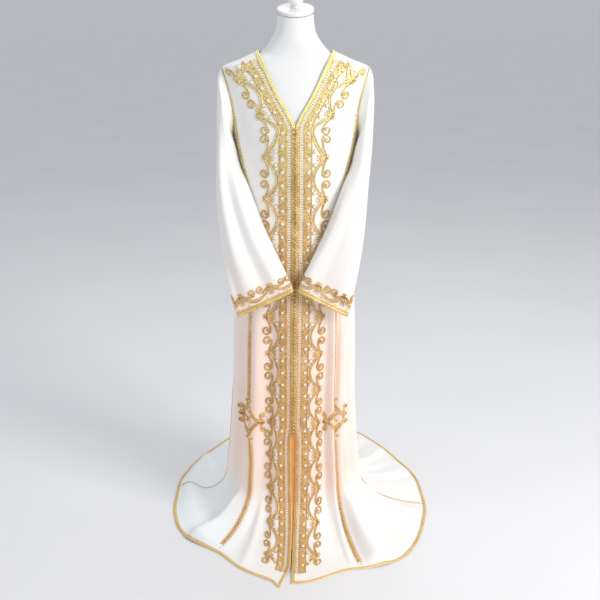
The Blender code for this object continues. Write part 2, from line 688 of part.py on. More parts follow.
def make_panels(cloth):
    grids = {}
    for side, name in ((1, "left"), (-1, "right")):
        grids["front_" + name] = centre_front_grid(side)
        grids["side_front_" + name] = side_front_grid(side)
    grids["back"] = back_grid()
    for name, (turns, drops) in grids.items():
        wall_from(name, turns, drops, cloth)
    return grids


def make_edge_braids(grids, gold):
    """Braid on the first column of each centre front, and a collar of it round the back neck."""
    top = BRAID_GAP + BRAID_THICK
    for name in ("left", "right"):
        turns, drops = grids["front_" + name]
        wall_from("front_braid_" + name, turns[:, :2], drops[:, :2], gold, top, BRAID_THICK)
    turns, drops = grids["back"]
    columns = slice(BACK_SHOULDER_COLUMNS, BACK_SHOULDER_COLUMNS + 2 * BACK_NECK_COLUMNS + 1)
    neck_turns, neck_drops = turns[:3, columns], drops[:3, columns]
    wall_from("back_neck_braid", neck_turns, neck_drops, gold, top, BRAID_THICK)


def make_hem_braids(grids, gold):
    for name, (turns, drops) in grids.items():
        turns, drops = turns[-2:].copy(), drops[-2:]
        if name in ("front_left", "front_right"):
            away = 2 * SEAM_HALF_GAP * np.sign(turns[:, 2] - turns[:, 1])
            turns, drops = turns[:, 1:], drops[:, 1:]
            turns[:, 0] += turn_step(turns[:, 0], drops[:, 0], away)
        wall_from("hem_braid_" + name, turns, drops, gold, BRAID_GAP + BRAID_THICK, BRAID_THICK)


def make_underlap(amber):
    """The strip behind the opening, from the point of the V down to the floor."""
    levels = np.array([UNDERLAP_TOP, UNDERARM_HEIGHT, *HANGING_ROWS, *FLOOR_ROWS])
    left = turn_step(np.full(len(levels), 2.0), levels, UNDERLAP_HALF_WIDTH)
    turns = np.stack([left, np.zeros(len(levels)), -left], axis=-1)
    drops = np.repeat(levels[:, None], 3, axis=1)
    points = body_point(np.mod(turns, 360), drops)
    points[:, 1] = (points[:, 0] + points[:, 2]) / 2
    normals = body_normal(np.full(drops.shape, 1.0), drops)
    top = points - normals * (WALL + 2 * BRAID_GAP)
    slab("front_underlap", top, top - normals * BRAID_THICK, amber)


def make_buttons(gold):
    """Knots on a cord, down the middle of the opening: two rings of the tube for each knot."""
    count = int(round((BUTTON_TOP - BUTTON_BOTTOM) / BUTTON_PITCH))
    heights = np.linspace(BUTTON_TOP, BUTTON_BOTTOM, 2 * count + 1)
    radii = np.where(np.arange(len(heights)) % 2 == 1, BUTTON_RADIUS, BUTTON_CORD_RADIUS)
    left = body_point(front_edge_turn(1, heights), heights)
    right = body_point(front_edge_turn(-1, heights), heights)
    normals = body_normal(np.full(len(heights), 1.0), heights)
    above = BUTTON_GAP + BRAID_GAP + BRAID_THICK + BUTTON_RADIUS
    path = (left + right) / 2 + normals * above
    solid_rings("button_row", rings_along(path, normals, radii, 6), gold)


def make_side_piping(side, name, grids, gold):
    """A cord over the side seam, through the side front's own edge points."""
    turns, drops = grids["side_front_" + name]
    drops = drops[1:-2, -1]
    turns = np.full(len(drops), mirrored(side, 90.0))
    normals = body_normal(turns, drops)
    path = body_point(turns, drops) + normals * (PIPING_RADIUS + PIPING_GAP)
    rings = rings_along(path, normals, np.full(len(path), PIPING_RADIUS), 6)
    solid_rings("side_piping_" + name, rings, gold)


def armhole_loop(side, lift, inwards):
    """Points round the armhole, starting at the shoulder tip and going down the front."""
    shares = np.linspace(0, 2, SLEEVE_SIDES, endpoint=False)
    front_turn, front_drop = armhole(shares, True)
    back_turn, back_drop = armhole(2 - shares, False)
    on_front = shares <= 1
    turns = np.where(on_front, front_turn, back_turn)
    drops = np.where(on_front, front_drop, back_drop)
    towards_body = np.sin(np.pi * shares) * inwards / METRES_PER_DEGREE
    turns = mirrored(side, turns - towards_body)
    normals = body_normal(turns, drops)
    return body_point(turns, drops) + normals * lift, normals


def push_clear(points, clearance):
    """Moves points out of the body's oval, so that a sleeve lies against it and not in it."""
    height = np.clip(points[..., 2], BEND_HEIGHT, NECK_POINT_HEIGHT)
    wide = through(CLOTH_SECTIONS, "height", "half_width", height)
    front = through(CLOTH_SECTIONS, "height", "front_depth", height)
    back = through(CLOTH_SECTIONS, "height", "back_depth", height)
    turn = np.degrees(np.arctan2(points[..., 0] / wide, -points[..., 1] / front)) % 360
    out = np.maximum(fold_depth(turn, height), 0)
    deep = np.where(points[..., 1] < 0, front, back)
    size = np.hypot(points[..., 0] / (wide + out), points[..., 1] / (deep + out))
    least = 1 + clearance / deep
    factor = np.maximum(1, least / np.maximum(size, 1e-6))
    moved = points.copy()
    moved[..., 0] *= factor
    moved[..., 1] *= factor
    return moved


def sleeve_rings(side, shrink):
    """The sleeve's rings from the armhole to the cuff, shrunk by a wall for the inner surface."""
    angles = np.linspace(0, 2 * np.pi, SLEEVE_SIDES, endpoint=False)
    loop, _ = armhole_loop(side, SLEEVE_LIFT + WALL - shrink, 0.0)
    rings = [loop]
    for station in SLEEVE_STATIONS:
        ring = SleeveRing(*(through(SLEEVE_RINGS, "station", name, station) for name in SleeveRing._fields))
        outer_x = ring.left_x if side > 0 else ring.right_x
        outer = np.array([outer_x * side, ring.middle_y, ring.outer_z])
        inner = np.array([ring.inner_x * side, ring.middle_y, ring.inner_z])
        centre, half = (outer + inner) / 2, (outer - inner) / 2
        length = np.linalg.norm(half)
        along = half / length * (length - shrink)
        deep = np.array([0, -(ring.half_deep - shrink), 0])
        points = centre + np.cos(angles)[:, None] * along + np.sin(angles)[:, None] * deep
        rings.append(push_clear(points, SLEEVE_CLEARANCE + shrink))
    return np.array(rings)


def make_sleeve(side, name, cloth, gold):
    outer, inner = sleeve_rings(side, 0.0), sleeve_rings(side, WALL)
    tube_wall("sleeve_" + name, outer, inner, cloth)
    above = sleeve_rings(side, -BRAID_GAP - BRAID_THICK)[-2:]
    below = sleeve_rings(side, -BRAID_GAP)[-2:]
    tube_wall("cuff_braid_" + name, above, below, gold)


def make_armhole_piping(side, name, gold):
    loop, normals = armhole_loop(side, PIPING_RADIUS + ARMHOLE_PIPING_GAP, PIPING_INWARDS)
    closed = np.concatenate([loop[-1:], loop, loop[:1]])
    closed_normals = np.concatenate([normals[-1:], normals, normals[:1]])
    rings = rings_along(closed, closed_normals, np.full(len(closed), PIPING_RADIUS), 6)[1:-1]
    count, sides = rings.shape[:2]
    faces = []
    for r in range(count):
        nxt = (r + 1) % count
        for s in range(sides):
            t = (s + 1) % sides
            faces.append((r * sides + t, r * sides + s, nxt * sides + s, nxt * sides + t))
    add_object("armhole_piping_" + name, rings.reshape(-1, 3), faces, gold)


# ---- The dress form -------------------------------------------------------------------------


def make_form(cover, steel):
    sides = 28
    turns = np.arange(sides) * 360 / sides
    rings = []
    for section in FORM_SECTIONS:
        x, y = ring_point(FORM_SECTIONS, turns, np.full(sides, section.height))
        tilt = CAP_TILT * ease(NECK_BASE_HEIGHT, NECK_TOP_HEIGHT, section.height)
        rings.append(np.stack([x, y, section.height + y * tilt], axis=-1))
    solid_rings("form_torso", np.array(rings), cover)

    top = FORM_SECTIONS[0].height + PART_GAP
    rings = [tilted_ring(CAP_RADIUS * share, top + rise, sides) for share, rise in CAP_PROFILE]
    solid_rings("form_neck_cap", np.array(rings), cover)

    top += CAP_THICK + PART_GAP
    rings = [tilted_ring(KNOB_RADIUS * share, top + rise, 16) for share, rise in KNOB_PROFILE]
    solid_rings("form_knob", np.array(rings), cover)

    pole = ((POLE_RADIUS, BASE_THICK + PART_GAP), (POLE_RADIUS, FORM_BOTTOM - PART_GAP))
    turned("stand_pole", pole, 16, steel)
    inner = POLE_RADIUS + PART_GAP
    collar = (
        (inner, BASE_THICK + PART_GAP),
        (COLLAR_RADIUS, BASE_THICK + PART_GAP),
        (COLLAR_RADIUS * 0.8, COLLAR_TOP),
        (inner, COLLAR_TOP),
    )
    ring_of_profile("stand_collar", collar, 16, steel)
    base = ((BASE_RADIUS, 0.0), (BASE_RADIUS, BASE_THICK - 0.003), (BASE_RADIUS - 0.004, BASE_THICK))
    turned("stand_base", base, 36, steel)


def tilted_ring(radius, height, sides):
    angles = np.arange(sides) * 2 * np.pi / sides
    x, y = radius * np.sin(angles), -radius * np.cos(angles)
    return np.stack([x, y - (height - FORM_SECTIONS[0].height) * CAP_TILT, height + y * CAP_TILT], axis=-1)


def turned(name, profile, sides, material):
    """A solid turned about the Z axis, from a profile of radius and height, with flat ends."""
    angles = np.arange(sides) * 2 * np.pi / sides
    rings = [
        np.stack([radius * np.sin(angles), -radius * np.cos(angles), np.full(sides, height)], axis=-1)
        for radius, height in profile
    ]
    return solid_rings(name, np.array(rings), material)


def ring_of_profile(name, profile, sides, material):
    """A closed ring turned about the Z axis, from a closed profile of radius and height."""
    angles = np.arange(sides) * 2 * np.pi / sides
    points, faces, corners = [], [], len(profile)
    for angle in angles:
        points += [(radius * np.sin(angle), -radius * np.cos(angle), height) for radius, height in profile]
    for s in range(sides):
        t = (s + 1) % sides
        for c in range(corners):
            d = (c + 1) % corners
            faces.append((s * corners + c, s * corners + d, t * corners + d, t * corners + c))
    return add_object(name, points, faces, material)


def main():
    for made in list(bpy.data.objects):
        bpy.data.objects.remove(made, do_unlink=True)
    cloth = material_for("white_satin", CLOTH)
    gold = material_for("gold_braid", GOLD_BRAID)
    amber = material_for("amber_satin", AMBER_SATIN)
    grids = make_panels(cloth)
    make_edge_braids(grids, gold)
    make_hem_braids(grids, gold)
    make_underlap(amber)
    make_buttons(gold)
    for side, name in ((1, "left"), (-1, "right")):
        make_sleeve(side, name, cloth, gold)
        make_side_piping(side, name, grids, gold)
        make_armhole_piping(side, name, gold)
    make_form(material_for("form_cover", FORM_COVER), material_for("brushed_steel", STEEL))


main()
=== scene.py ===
"""The looks of a white satin kaftan with gold embroidery, on a white dress form.

The cloth is a set of thin walls on one body surface, body_point(turn, drop), which repeats the
cut of the construction: turn is the angle round the body in degrees, 0 at the front opening and
90 at the wearer's left side seam, and drop is the height while the cloth hangs, and runs on to 0
at the hem along the floor. Embroidery is drawn flat, as strokes, beads and stones in metres of
(out from the edge, along the edge), and then laid on the cloth. All lengths are in metres.
"""

import functools
from collections import namedtuple

import bpy
import mathutils
import numpy as np
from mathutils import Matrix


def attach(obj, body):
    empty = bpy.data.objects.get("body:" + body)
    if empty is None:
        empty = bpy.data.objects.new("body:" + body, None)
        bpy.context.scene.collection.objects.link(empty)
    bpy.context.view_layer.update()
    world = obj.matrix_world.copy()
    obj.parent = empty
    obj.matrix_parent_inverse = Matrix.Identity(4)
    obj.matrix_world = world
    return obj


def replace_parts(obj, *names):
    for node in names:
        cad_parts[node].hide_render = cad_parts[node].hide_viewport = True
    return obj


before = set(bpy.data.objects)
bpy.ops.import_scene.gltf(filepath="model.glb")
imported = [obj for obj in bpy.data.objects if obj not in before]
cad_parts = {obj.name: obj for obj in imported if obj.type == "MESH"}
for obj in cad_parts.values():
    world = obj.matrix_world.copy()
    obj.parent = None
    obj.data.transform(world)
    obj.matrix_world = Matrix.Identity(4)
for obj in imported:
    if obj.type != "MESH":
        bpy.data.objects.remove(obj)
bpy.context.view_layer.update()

bl_info = {
    "name": "Embroidered Kaftan",
    "version": (1, 0, 0),
    "blender": (4, 5, 0),
    "location": "View3D > Sidebar > Kaftan",
    "description": "Builds the cloth, braid, embroidery and dress form of a gold-worked kaftan",
    "category": "Object",
}

BODY = "root"


def rows_of(kind, *rows):
    """A table: one named tuple for each row of values."""
    return tuple(kind(*row) for row in rows)


# ---- The cut: sizes in metres and turns in degrees, as the construction has them ---------------

NECK_POINT_HEIGHT = 1.391
SHOULDER_TIP_HEIGHT = 1.345
NECKLINE_BOTTOM = 1.205
UNDERARM_HEIGHT = 1.160
PRINCESS_TOP = 1.234
PRINCESS_LEVEL = 1.000
BACK_NECK_DROP = 0.017
ARMHOLE_FRONT_TURN = 26.0
ARMHOLE_BACK_TURN = 23.0
ARMHOLE_MIDDLE = (SHOULDER_TIP_HEIGHT + UNDERARM_HEIGHT) / 2
ARMHOLE_HALF = (SHOULDER_TIP_HEIGHT - UNDERARM_HEIGHT) / 2
BEND_HEIGHT = 0.160
BEND_KEEP = 0.34
BEND_REACH = 0.42
CENTRE_DRIFT = -0.009
CLOTH_LIES_AT = 0.002
SEAM_HALF_GAP = 0.00006
BUTTON_PITCH = 0.011
BUTTON_TOP = 1.195
BUTTON_BOTTOM = 0.305
SLEEVE_LIFT = 0.0026
SLEEVE_CLEARANCE = 0.0028
SLEEVE_SQUARENESS = 0.72

Section = namedtuple("Section", "height half_width front_depth back_depth")
CLOTH_SECTIONS = rows_of(
    Section,
    (1.391, 0.100, 0.058, 0.060), (1.368, 0.152, 0.072, 0.074), (1.345, 0.200, 0.085, 0.088),
    (1.300, 0.198, 0.101, 0.100), (1.225, 0.184, 0.118, 0.108), (1.160, 0.172, 0.127, 0.110),
    (1.050, 0.158, 0.121, 0.103), (0.980, 0.152, 0.116, 0.101), (0.850, 0.164, 0.122, 0.117),
    (0.750, 0.172, 0.129, 0.127), (0.600, 0.176, 0.134, 0.136), (0.450, 0.178, 0.138, 0.147),
    (0.300, 0.186, 0.146, 0.166), (0.160, 0.198, 0.162, 0.192),
)
FORM_SECTIONS = rows_of(
    Section,
    (1.4900, 0.0485, 0.0485, 0.0485), (1.4650, 0.0500, 0.0500, 0.0500),
    (1.4400, 0.0545, 0.0525, 0.0525), (1.4180, 0.0660, 0.0545, 0.0545),
    (1.4020, 0.0780, 0.0535, 0.0540), (1.3870, 0.0930, 0.0535, 0.0545),
    (1.3640, 0.1480, 0.0680, 0.0700), (1.3410, 0.1930, 0.0800, 0.0830),
    (1.3000, 0.1890, 0.0965, 0.0950), (1.2250, 0.1660, 0.1130, 0.1020),
    (1.1600, 0.1500, 0.1210, 0.1020), (1.0800, 0.1340, 0.1080, 0.0940),
    (0.9800, 0.1180, 0.0920, 0.0840), (0.9000, 0.1340, 0.1000, 0.0980),
    (0.8000, 0.1540, 0.1090, 0.1120), (0.7400, 0.1560, 0.1090, 0.1140),
    (0.7200, 0.1440, 0.0980, 0.1030),
)
CAP_RADIUS = 0.0500
CAP_THICK = 0.011
CAP_TILT = 0.29
KNOB_RADIUS = 0.021

NeckPoint = namedtuple("NeckPoint", "height across")
NECKLINE = rows_of(
    NeckPoint,
    (1.205, 0.0006), (1.234, 0.0150), (1.276, 0.0400), (1.369, 0.0870), (1.391, 0.1000),
)
SeamPoint = namedtuple("SeamPoint", "drop left_turn right_turn")
PRINCESS_SEAM = rows_of(
    SeamPoint,
    (1.234, 64.5, 295.5), (1.160, 67.0, 293.0), (1.050, 59.0, 301.0), (0.900, 50.0, 311.0),
    (0.600, 41.0, 316.0), (0.380, 41.0, 316.0), (0.200, 41.0, 323.0), (0.000, 41.0, 323.0),
)
EdgeGap = namedtuple("EdgeGap", "drop half_gap")
FRONT_EDGES = rows_of(
    EdgeGap,
    (0.000, 0.0006), (0.060, 0.0012), (0.160, 0.0052), (0.290, 0.0066), (0.350, 0.0006),
    (1.391, 0.0006),
)
HemPoint = namedtuple("HemPoint", "turn x y")
HEM = rows_of(
    HemPoint,
    (0, -0.014, -0.424), (8, 0.029, -0.420), (18, 0.082, -0.396), (32, 0.143, -0.364),
    (48, 0.231, -0.345), (58, 0.296, -0.313), (67, 0.341, -0.255), (79, 0.388, -0.128),
    (90, 0.409, -0.002), (100, 0.404, 0.132), (113, 0.350, 0.286), (126, 0.292, 0.402),
    (142, 0.212, 0.510), (160, 0.115, 0.580), (180, 0.000, 0.605), (199, -0.120, 0.570),
    (216, -0.220, 0.480), (232, -0.300, 0.360), (250, -0.362, 0.235), (270, -0.388, 0.110),
    (288, -0.386, -0.010), (300, -0.364, -0.126), (309, -0.322, -0.203), (316, -0.278, -0.238),
    (325, -0.222, -0.280), (335, -0.160, -0.350), (347, -0.090, -0.398), (360, -0.016, -0.427),
)
RIGHT_CORNER_FLARE = (-0.026, -0.016)
CORNER_FLARE_TURN = 6.0
CORNER_FLARE_START = 0.80

# The falling folds: the broad ones of the construction, and the finer ones between them.
Fold = namedtuple("Fold", "turn_high turn_low top depth width")
FOLDS = rows_of(
    Fold,
    (33, 30, 0.84, -0.007, 7), (47, 46, 0.84, 0.011, 9), (62, 62, 0.80, -0.012, 9),
    (78, 79, 0.80, 0.007, 8), (103, 105, 0.90, -0.011, 9), (123, 124, 0.95, 0.012, 10),
    (144, 142, 0.92, -0.013, 9), (163, 161, 0.98, 0.014, 10), (182, 183, 0.95, -0.012, 9),
    (201, 203, 0.98, 0.014, 10), (221, 224, 0.92, -0.013, 10), (241, 243, 0.95, 0.011, 9),
    (258, 259, 0.88, -0.009, 8), (282, 281, 0.80, 0.006, 8), (300, 300, 0.84, -0.017, 10),
    (323, 322, 0.84, 0.013, 9), (338, 337, 0.84, -0.011, 8),
)
FINE_FOLDS = rows_of(
    Fold,
    (31, 31, 0.52, -0.0080, 3.5), (38, 36, 0.86, 0.0120, 3.2), (46, 42, 0.86, -0.0150, 3.4),
    (54, 52, 0.66, -0.0050, 3.5), (68, 71, 0.72, 0.0050, 3.5), (86, 88, 0.60, -0.0045, 3.5),
    (95, 94, 0.84, 0.0050, 4), (112, 114, 0.70, 0.0045, 3.5), (134, 132, 0.86, -0.0050, 4),
    (153, 151, 0.66, 0.0055, 4), (172, 173, 0.90, -0.0045, 3.5), (192, 191, 0.72, 0.0050, 4),
    (212, 214, 0.88, -0.0050, 4), (231, 234, 0.70, 0.0050, 3.5), (250, 251, 0.82, -0.0050, 3.5),
    (268, 270, 0.64, 0.0050, 4), (290, 289, 0.70, 0.0050, 3.2), (311, 312, 0.82, 0.0080, 3.4),
    (331, 330, 0.62, -0.0045, 3.2), (346, 345, 0.70, 0.0040, 4),
)
FOLD_FADE = 0.30
FLOOR_LIFT = 1.5

Hump = namedtuple("Hump", "turn width along length lift")
HUMPS = rows_of(
    Hump,
    (262, 26, 0.84, 0.12, 0.024), (300, 13, 0.80, 0.14, 0.010), (234, 22, 0.86, 0.12, 0.016),
    (180, 24, 0.88, 0.12, 0.010), (57, 9, 0.62, 0.26, 0.020), (76, 8, 0.80, 0.20, 0.008),
    (98, 6, 0.70, 0.30, 0.009), (113, 6, 0.70, 0.30, 0.010), (128, 6, 0.70, 0.30, 0.011),
)

# Long rolled ridges that run down the skirt and out over the floor. steep is the width in degrees
# on the side of the lower turns, gentle on the other.
Ridge = namedtuple("Ridge", "turn_high turn_hem top lift steep gentle")
RIDGES = rows_of(
    Ridge,
    (313, 309, 0.32, 0.026, 1.7, 9.0), (44, 52, 0.38, 0.026, 6.0, 2.0), (61, 66, 0.14, 0.010, 3.0, 2.0),
    (331, 336, 0.18, 0.006, 2.4, 3.0), (86, 84, 0.12, 0.010, 1.6, 3.0),
    (104, 107, 0.12, 0.011, 1.6, 3.4), (119, 122, 0.13, 0.011, 1.8, 3.0),
    (137, 136, 0.12, 0.008, 2.6, 3.0), (156, 154, 0.12, 0.007, 3.0, 3.0),
    (176, 174, 0.13, 0.008, 3.0, 3.6), (197, 199, 0.12, 0.007, 2.6, 3.4),
    (214, 217, 0.12, 0.008, 3.0, 3.0), (238, 241, 0.13, 0.007, 2.4, 3.4),
    (277, 276, 0.12, 0.006, 3.0, 2.4),
)

SleeveRing = namedtuple("SleeveRing", "station left_x right_x outer_z inner_x inner_z middle_y half_deep")
SLEEVE_RINGS = rows_of(
    SleeveRing,
    (0.00, 0.2110, 0.2110, 1.318, 0.1680, 1.150, 0.000, 0.0640),
    (0.10, 0.2145, 0.2150, 1.255, 0.1580, 1.125, -0.004, 0.0680),
    (0.24, 0.2120, 0.2165, 1.160, 0.1500, 1.090, -0.016, 0.0680),
    (0.44, 0.2010, 0.2185, 1.035, 0.1300, 1.040, -0.058, 0.0600),
    (0.65, 0.1880, 0.2080, 0.900, 0.0860, 0.928, -0.110, 0.0430),
    (0.82, 0.1700, 0.1900, 0.795, 0.0420, 0.840, -0.140, 0.0210),
    (0.97, 0.1500, 0.1670, 0.700, 0.0110, 0.772, -0.152, 0.0110),
    (1.00, 0.1450, 0.1610, 0.682, 0.0065, 0.756, -0.153, 0.0100),
)
ARMHOLE_STATION = -0.08

# Soft folds along a sleeve: where round the ring, from 0 at its outer end through 0.25 in front
# to 0.5 at its inner end, at the elbow and at the cuff.
SleeveFold = namedtuple("SleeveFold", "side around_high around_low start depth width")
SLEEVE_FOLDS = rows_of(
    SleeveFold,
    (-1, 0.12, 0.20, 0.05, 0.0080, 0.045), (-1, 0.18, 0.28, 0.30, -0.0070, 0.036),
    (-1, 0.27, 0.35, 0.20, 0.0060, 0.032), (-1, 0.36, 0.42, 0.10, -0.0030, 0.030),
    (-1, 0.05, 0.10, 0.35, -0.0045, 0.035), (-1, 0.70, 0.66, 0.20, 0.0045, 0.050),
    (-1, 0.82, 0.80, 0.30, -0.0040, 0.045), (1, 0.13, 0.17, 0.40, 0.0032, 0.040),
    (1, 0.24, 0.30, 0.30, -0.0030, 0.045), (1, 0.36, 0.40, 0.25, 0.0026, 0.035),
    (1, 0.70, 0.66, 0.20, 0.0045, 0.050), (1, 0.82, 0.80, 0.30, -0.0040, 0.045),
)


# ---- Curves through tables ---------------------------------------------------------------------


def through(table, key, column, at):
    """A smooth curve through a table's column that never overshoots it: a cubic between each two
    rows whose slopes at the rows are the harmonic mean of the slopes on either side."""
    rows = sorted(table, key=lambda row: getattr(row, key))
    xs = np.array([getattr(row, key) for row in rows], float)
    ys = np.array([getattr(row, column) for row in rows], float)
    steps, slopes = np.diff(xs), np.diff(ys) / np.diff(xs)
    tangents = np.zeros(len(xs))
    tangents[0], tangents[-1] = slopes[0], slopes[-1]
    inner = slopes[:-1] * slopes[1:] > 0
    weight_a = 2 * steps[1:] + steps[:-1]
    weight_b = steps[1:] + 2 * steps[:-1]
    safe = np.where(inner, slopes[:-1] * slopes[1:], 1.0)
    mean = (weight_a + weight_b) * safe / (weight_a * slopes[1:] + weight_b * slopes[:-1] + ~inner)
    tangents[1:-1] = np.where(inner, mean, 0.0)
    at = np.clip(np.asarray(at, float), xs[0], xs[-1])
    i = np.clip(np.searchsorted(xs, at) - 1, 0, len(steps) - 1)
    k = (at - xs[i]) / steps[i]
    rise = ys[i] * (1 + 2 * k) * (1 - k) ** 2 + ys[i + 1] * k * k * (3 - 2 * k)
    return rise + steps[i] * (tangents[i] * k * (1 - k) ** 2 - tangents[i + 1] * k * k * (1 - k))


def ease(low, high, at):
    """0 below low, 1 above high, and a smooth step between: 3k squared less 2k cubed."""
    k = np.clip((np.asarray(at, float) - low) / (high - low), 0, 1)
    return k * k * (3 - 2 * k)


def bump(distance, width):
    """A bell: e to the minus square of distance over width."""
    return np.exp(-((distance / width) ** 2))


def oval(sections, height):
    """Half width, front depth and back depth of a table's ovals at a height."""
    return [through(sections, "height", name, height) for name in Section._fields[1:]]


def half_width(height):
    """Half width of the cloth's oval at a height."""
    return through(CLOTH_SECTIONS, "height", "half_width", height)


def turn_at(across, height):
    """Turn, counted from the front or from the back, of the oval's point that far from the
    centre at a height."""
    return np.degrees(np.arcsin(np.clip(across / half_width(height), -1, 1)))


def between(left, right, top, bottom, u, v):
    """A Coons patch, the grid between four curves: the blend of left and right by u, plus the
    blend of top and bottom by v, less the same blends of the corners."""
    u, v = u[None, :, None], v[:, None, None]
    grid = left[:, None] * (1 - u) + right[:, None] * u + top[None] * (1 - v) + bottom[None] * v
    return grid - (top[0] * (1 - u) + top[-1] * u) * (1 - v) - (bottom[0] * (1 - u) + bottom[-1] * u) * v


def run_length(points):
    """The distance along a path to each of its points."""
    return np.concatenate([[0], np.cumsum(np.linalg.norm(np.diff(points, axis=0), axis=-1))])


# ---- The body cloth ----------------------------------------------------------------------------


def fold_depth(turn, height):
    """The sum of the folds: each is a bell round the body, which drifts and comes in downwards."""
    total = np.zeros(np.broadcast(turn, height).shape)
    for fold in FOLDS + FINE_FOLDS:
        share = ease(BEND_HEIGHT, fold.top, height)
        middle = fold.turn_low + (fold.turn_high - fold.turn_low) * share
        strength = 1 - ease(fold.top - FOLD_FADE, fold.top, height)
        total = total + fold.depth * strength * bump(turn - middle, fold.width)
    return total


def ridge_height(turn, drop, along):
    """The sum of the rolled ridges: bells with one steep and one gentle side."""
    total = np.zeros(turn.shape)
    for ridge in RIDGES:
        middle = ridge.turn_high + (ridge.turn_hem - ridge.turn_high) * along
        off = turn - middle
        shape = np.where(off < 0, bump(off, ridge.steep), bump(off, ridge.gentle))
        strength = (1 - ease(BEND_HEIGHT * 0.6, ridge.top, drop)) * (0.35 + 0.65 * ease(0, 0.45, along))
        total += ridge.lift * strength * shape
    return total


def hanging_point(turn, height, out):
    """Two half ovals, front and back, at each height, moved out by the folds and off centre."""
    angle = np.radians(turn)
    wide, front, back = oval(CLOTH_SECTIONS, height)
    deep = np.where(np.cos(angle) > 0, front, back)
    drift = CENTRE_DRIFT * (1 - ease(0, NECKLINE_BOTTOM, height))
    return (wide + out) * np.sin(angle) + drift, -(deep + out) * np.cos(angle)


def body_point(turn, drop):
    """The body cloth's outer surface: the hanging ovals above the bend, and below it a curve from
    the bend to the hem's point on the floor, lifted by the folds, humps and ridges."""
    turn, drop = np.broadcast_arrays(np.asarray(turn, float), np.asarray(drop, float))
    along = np.clip(1 - drop / BEND_HEIGHT, 0, 1)
    ridge = ridge_height(turn, drop, along)
    height = np.maximum(drop, BEND_HEIGHT)
    folds = fold_depth(turn, height)
    x, y = hanging_point(turn, height, folds + ridge * 0.7)
    run = 3 * (1 - along) * along**2 * BEND_REACH + along**3
    fall = (1 - along) ** 2 * ((1 - along) + 3 * along * BEND_KEEP)
    flare = bump(360 - turn, CORNER_FLARE_TURN) * ease(CORNER_FLARE_START, 1, along)
    hem_x = through(HEM, "turn", "x", turn) + RIGHT_CORNER_FLARE[0] * flare
    hem_y = through(HEM, "turn", "y", turn) + RIGHT_CORNER_FLARE[1] * flare
    lift = sum(
        hump.lift * bump(turn - hump.turn, hump.width) * bump(along - hump.along, hump.length)
        for hump in HUMPS
    )
    ridges = np.maximum(fold_depth(turn, np.full(turn.shape, BEND_HEIGHT)), 0)
    lift = (lift + FLOOR_LIFT * ridges * along * (1 - along) * 2 + ridge) * ease(0, 0.35, along)
    lift = lift * (1 - 0.85 * ease(0.90, 1, along))
    on_floor = CLOTH_LIES_AT + lift + BEND_HEIGHT * fall * (1 - CLOTH_LIES_AT / BEND_HEIGHT)
    z = np.where(drop >= BEND_HEIGHT, drop, on_floor)
    return np.stack([x + (hem_x - x) * run, y + (hem_y - y) * run, z], axis=-1)


def body_normal(turn, drop):
    """The unit normal out of the body cloth: the cross product of small steps along it."""
    small_turn, small_drop = 0.25, 0.0006
    turn, drop = np.broadcast_arrays(np.asarray(turn, float), np.asarray(drop, float))
    low = np.maximum(drop - small_drop, 0)
    high = np.minimum(drop + small_drop, NECK_POINT_HEIGHT)
    across = body_point(turn + small_turn, drop) - body_point(turn - small_turn, drop)
    normal = np.cross(across, body_point(turn, high) - body_point(turn, low))
    return normal / np.linalg.norm(normal, axis=-1, keepdims=True)


def turn_step(turn, drop, distance):
    """The change of turn, in degrees, that moves that distance round the cloth."""
    across = body_point(turn + 0.5, drop) - body_point(turn - 0.5, drop)
    return distance / np.linalg.norm(across, axis=-1)


# ---- Seams -------------------------------------------------------------------------------------


def crest_height(across):
    """Height of the shoulder line at a distance from the centre."""
    heights = np.linspace(SHOULDER_TIP_HEIGHT, NECK_POINT_HEIGHT, 60)
    widths = half_width(heights)
    return np.interp(across, widths[::-1], heights[::-1])


def armhole(share, into_front):
    """Turn and drop on the left armhole: half an oval from the shoulder tip, 0, to the underarm, 1."""
    swing = -ARMHOLE_FRONT_TURN if into_front else ARMHOLE_BACK_TURN
    angle = np.pi * np.asarray(share, float)
    return 90 + swing * np.sin(angle), ARMHOLE_MIDDLE + ARMHOLE_HALF * np.cos(angle)


def armhole_turn(drop, into_front):
    """The left armhole's turn at a height, read off its oval."""
    turns, drops = armhole(np.linspace(0, 1, 200), into_front)
    return np.interp(drop, drops[::-1], turns[::-1])


def mirrored(side, turn):
    """The turn of a point of the left half on the side asked for."""
    return turn if side > 0 else 360 - turn


def front_edge_turn(side, drop):
    """Turn of the front opening's edge on one side, +1 for the wearer's left, -1 for the right."""
    gap = through(FRONT_EDGES, "drop", "half_gap", drop)
    return mirrored(side, turn_step(np.full(np.shape(drop), mirrored(side, 2.0)), drop, gap))


def princess_turn(side, drop):
    """Turn of the princess seam on one side at a height."""
    return through(PRINCESS_SEAM, "drop", "left_turn" if side > 0 else "right_turn", drop)


# ---- Panel grids: arrays of turn and drop, one row for each level ------------------------------

BODICE_ROWS = 56
BODICE_STEPS = np.linspace(0, 1, BODICE_ROWS) ** 1.25
LEVEL_ROWS = 170
FRONT_COLUMNS = 64
SIDE_COLUMNS = 64
SIDE_PATCH_ROWS = 40
UV_METRES_PER_DEGREE = 0.003
BACK_HALF_COLUMNS = 74


def levels_below(start):
    """Drops from just below start to the hem: evenly spaced down the hanging cloth, and then
    closer together, because the floor's share of the cloth is longer than its drop."""
    hanging = np.linspace(start, BEND_HEIGHT, LEVEL_ROWS // 2)[1:]
    floor = BEND_HEIGHT * (1 - np.linspace(0, 1, LEVEL_ROWS // 2)[1:])
    return np.concatenate([hanging, floor])


def stacked(turns, drops, levels, row):
    """A grid with a row of turns for each level below it."""
    more = np.stack([row(level) for level in levels])
    return np.vstack([turns, more]), np.vstack([drops, np.repeat(levels[:, None], turns.shape[1], axis=1)])


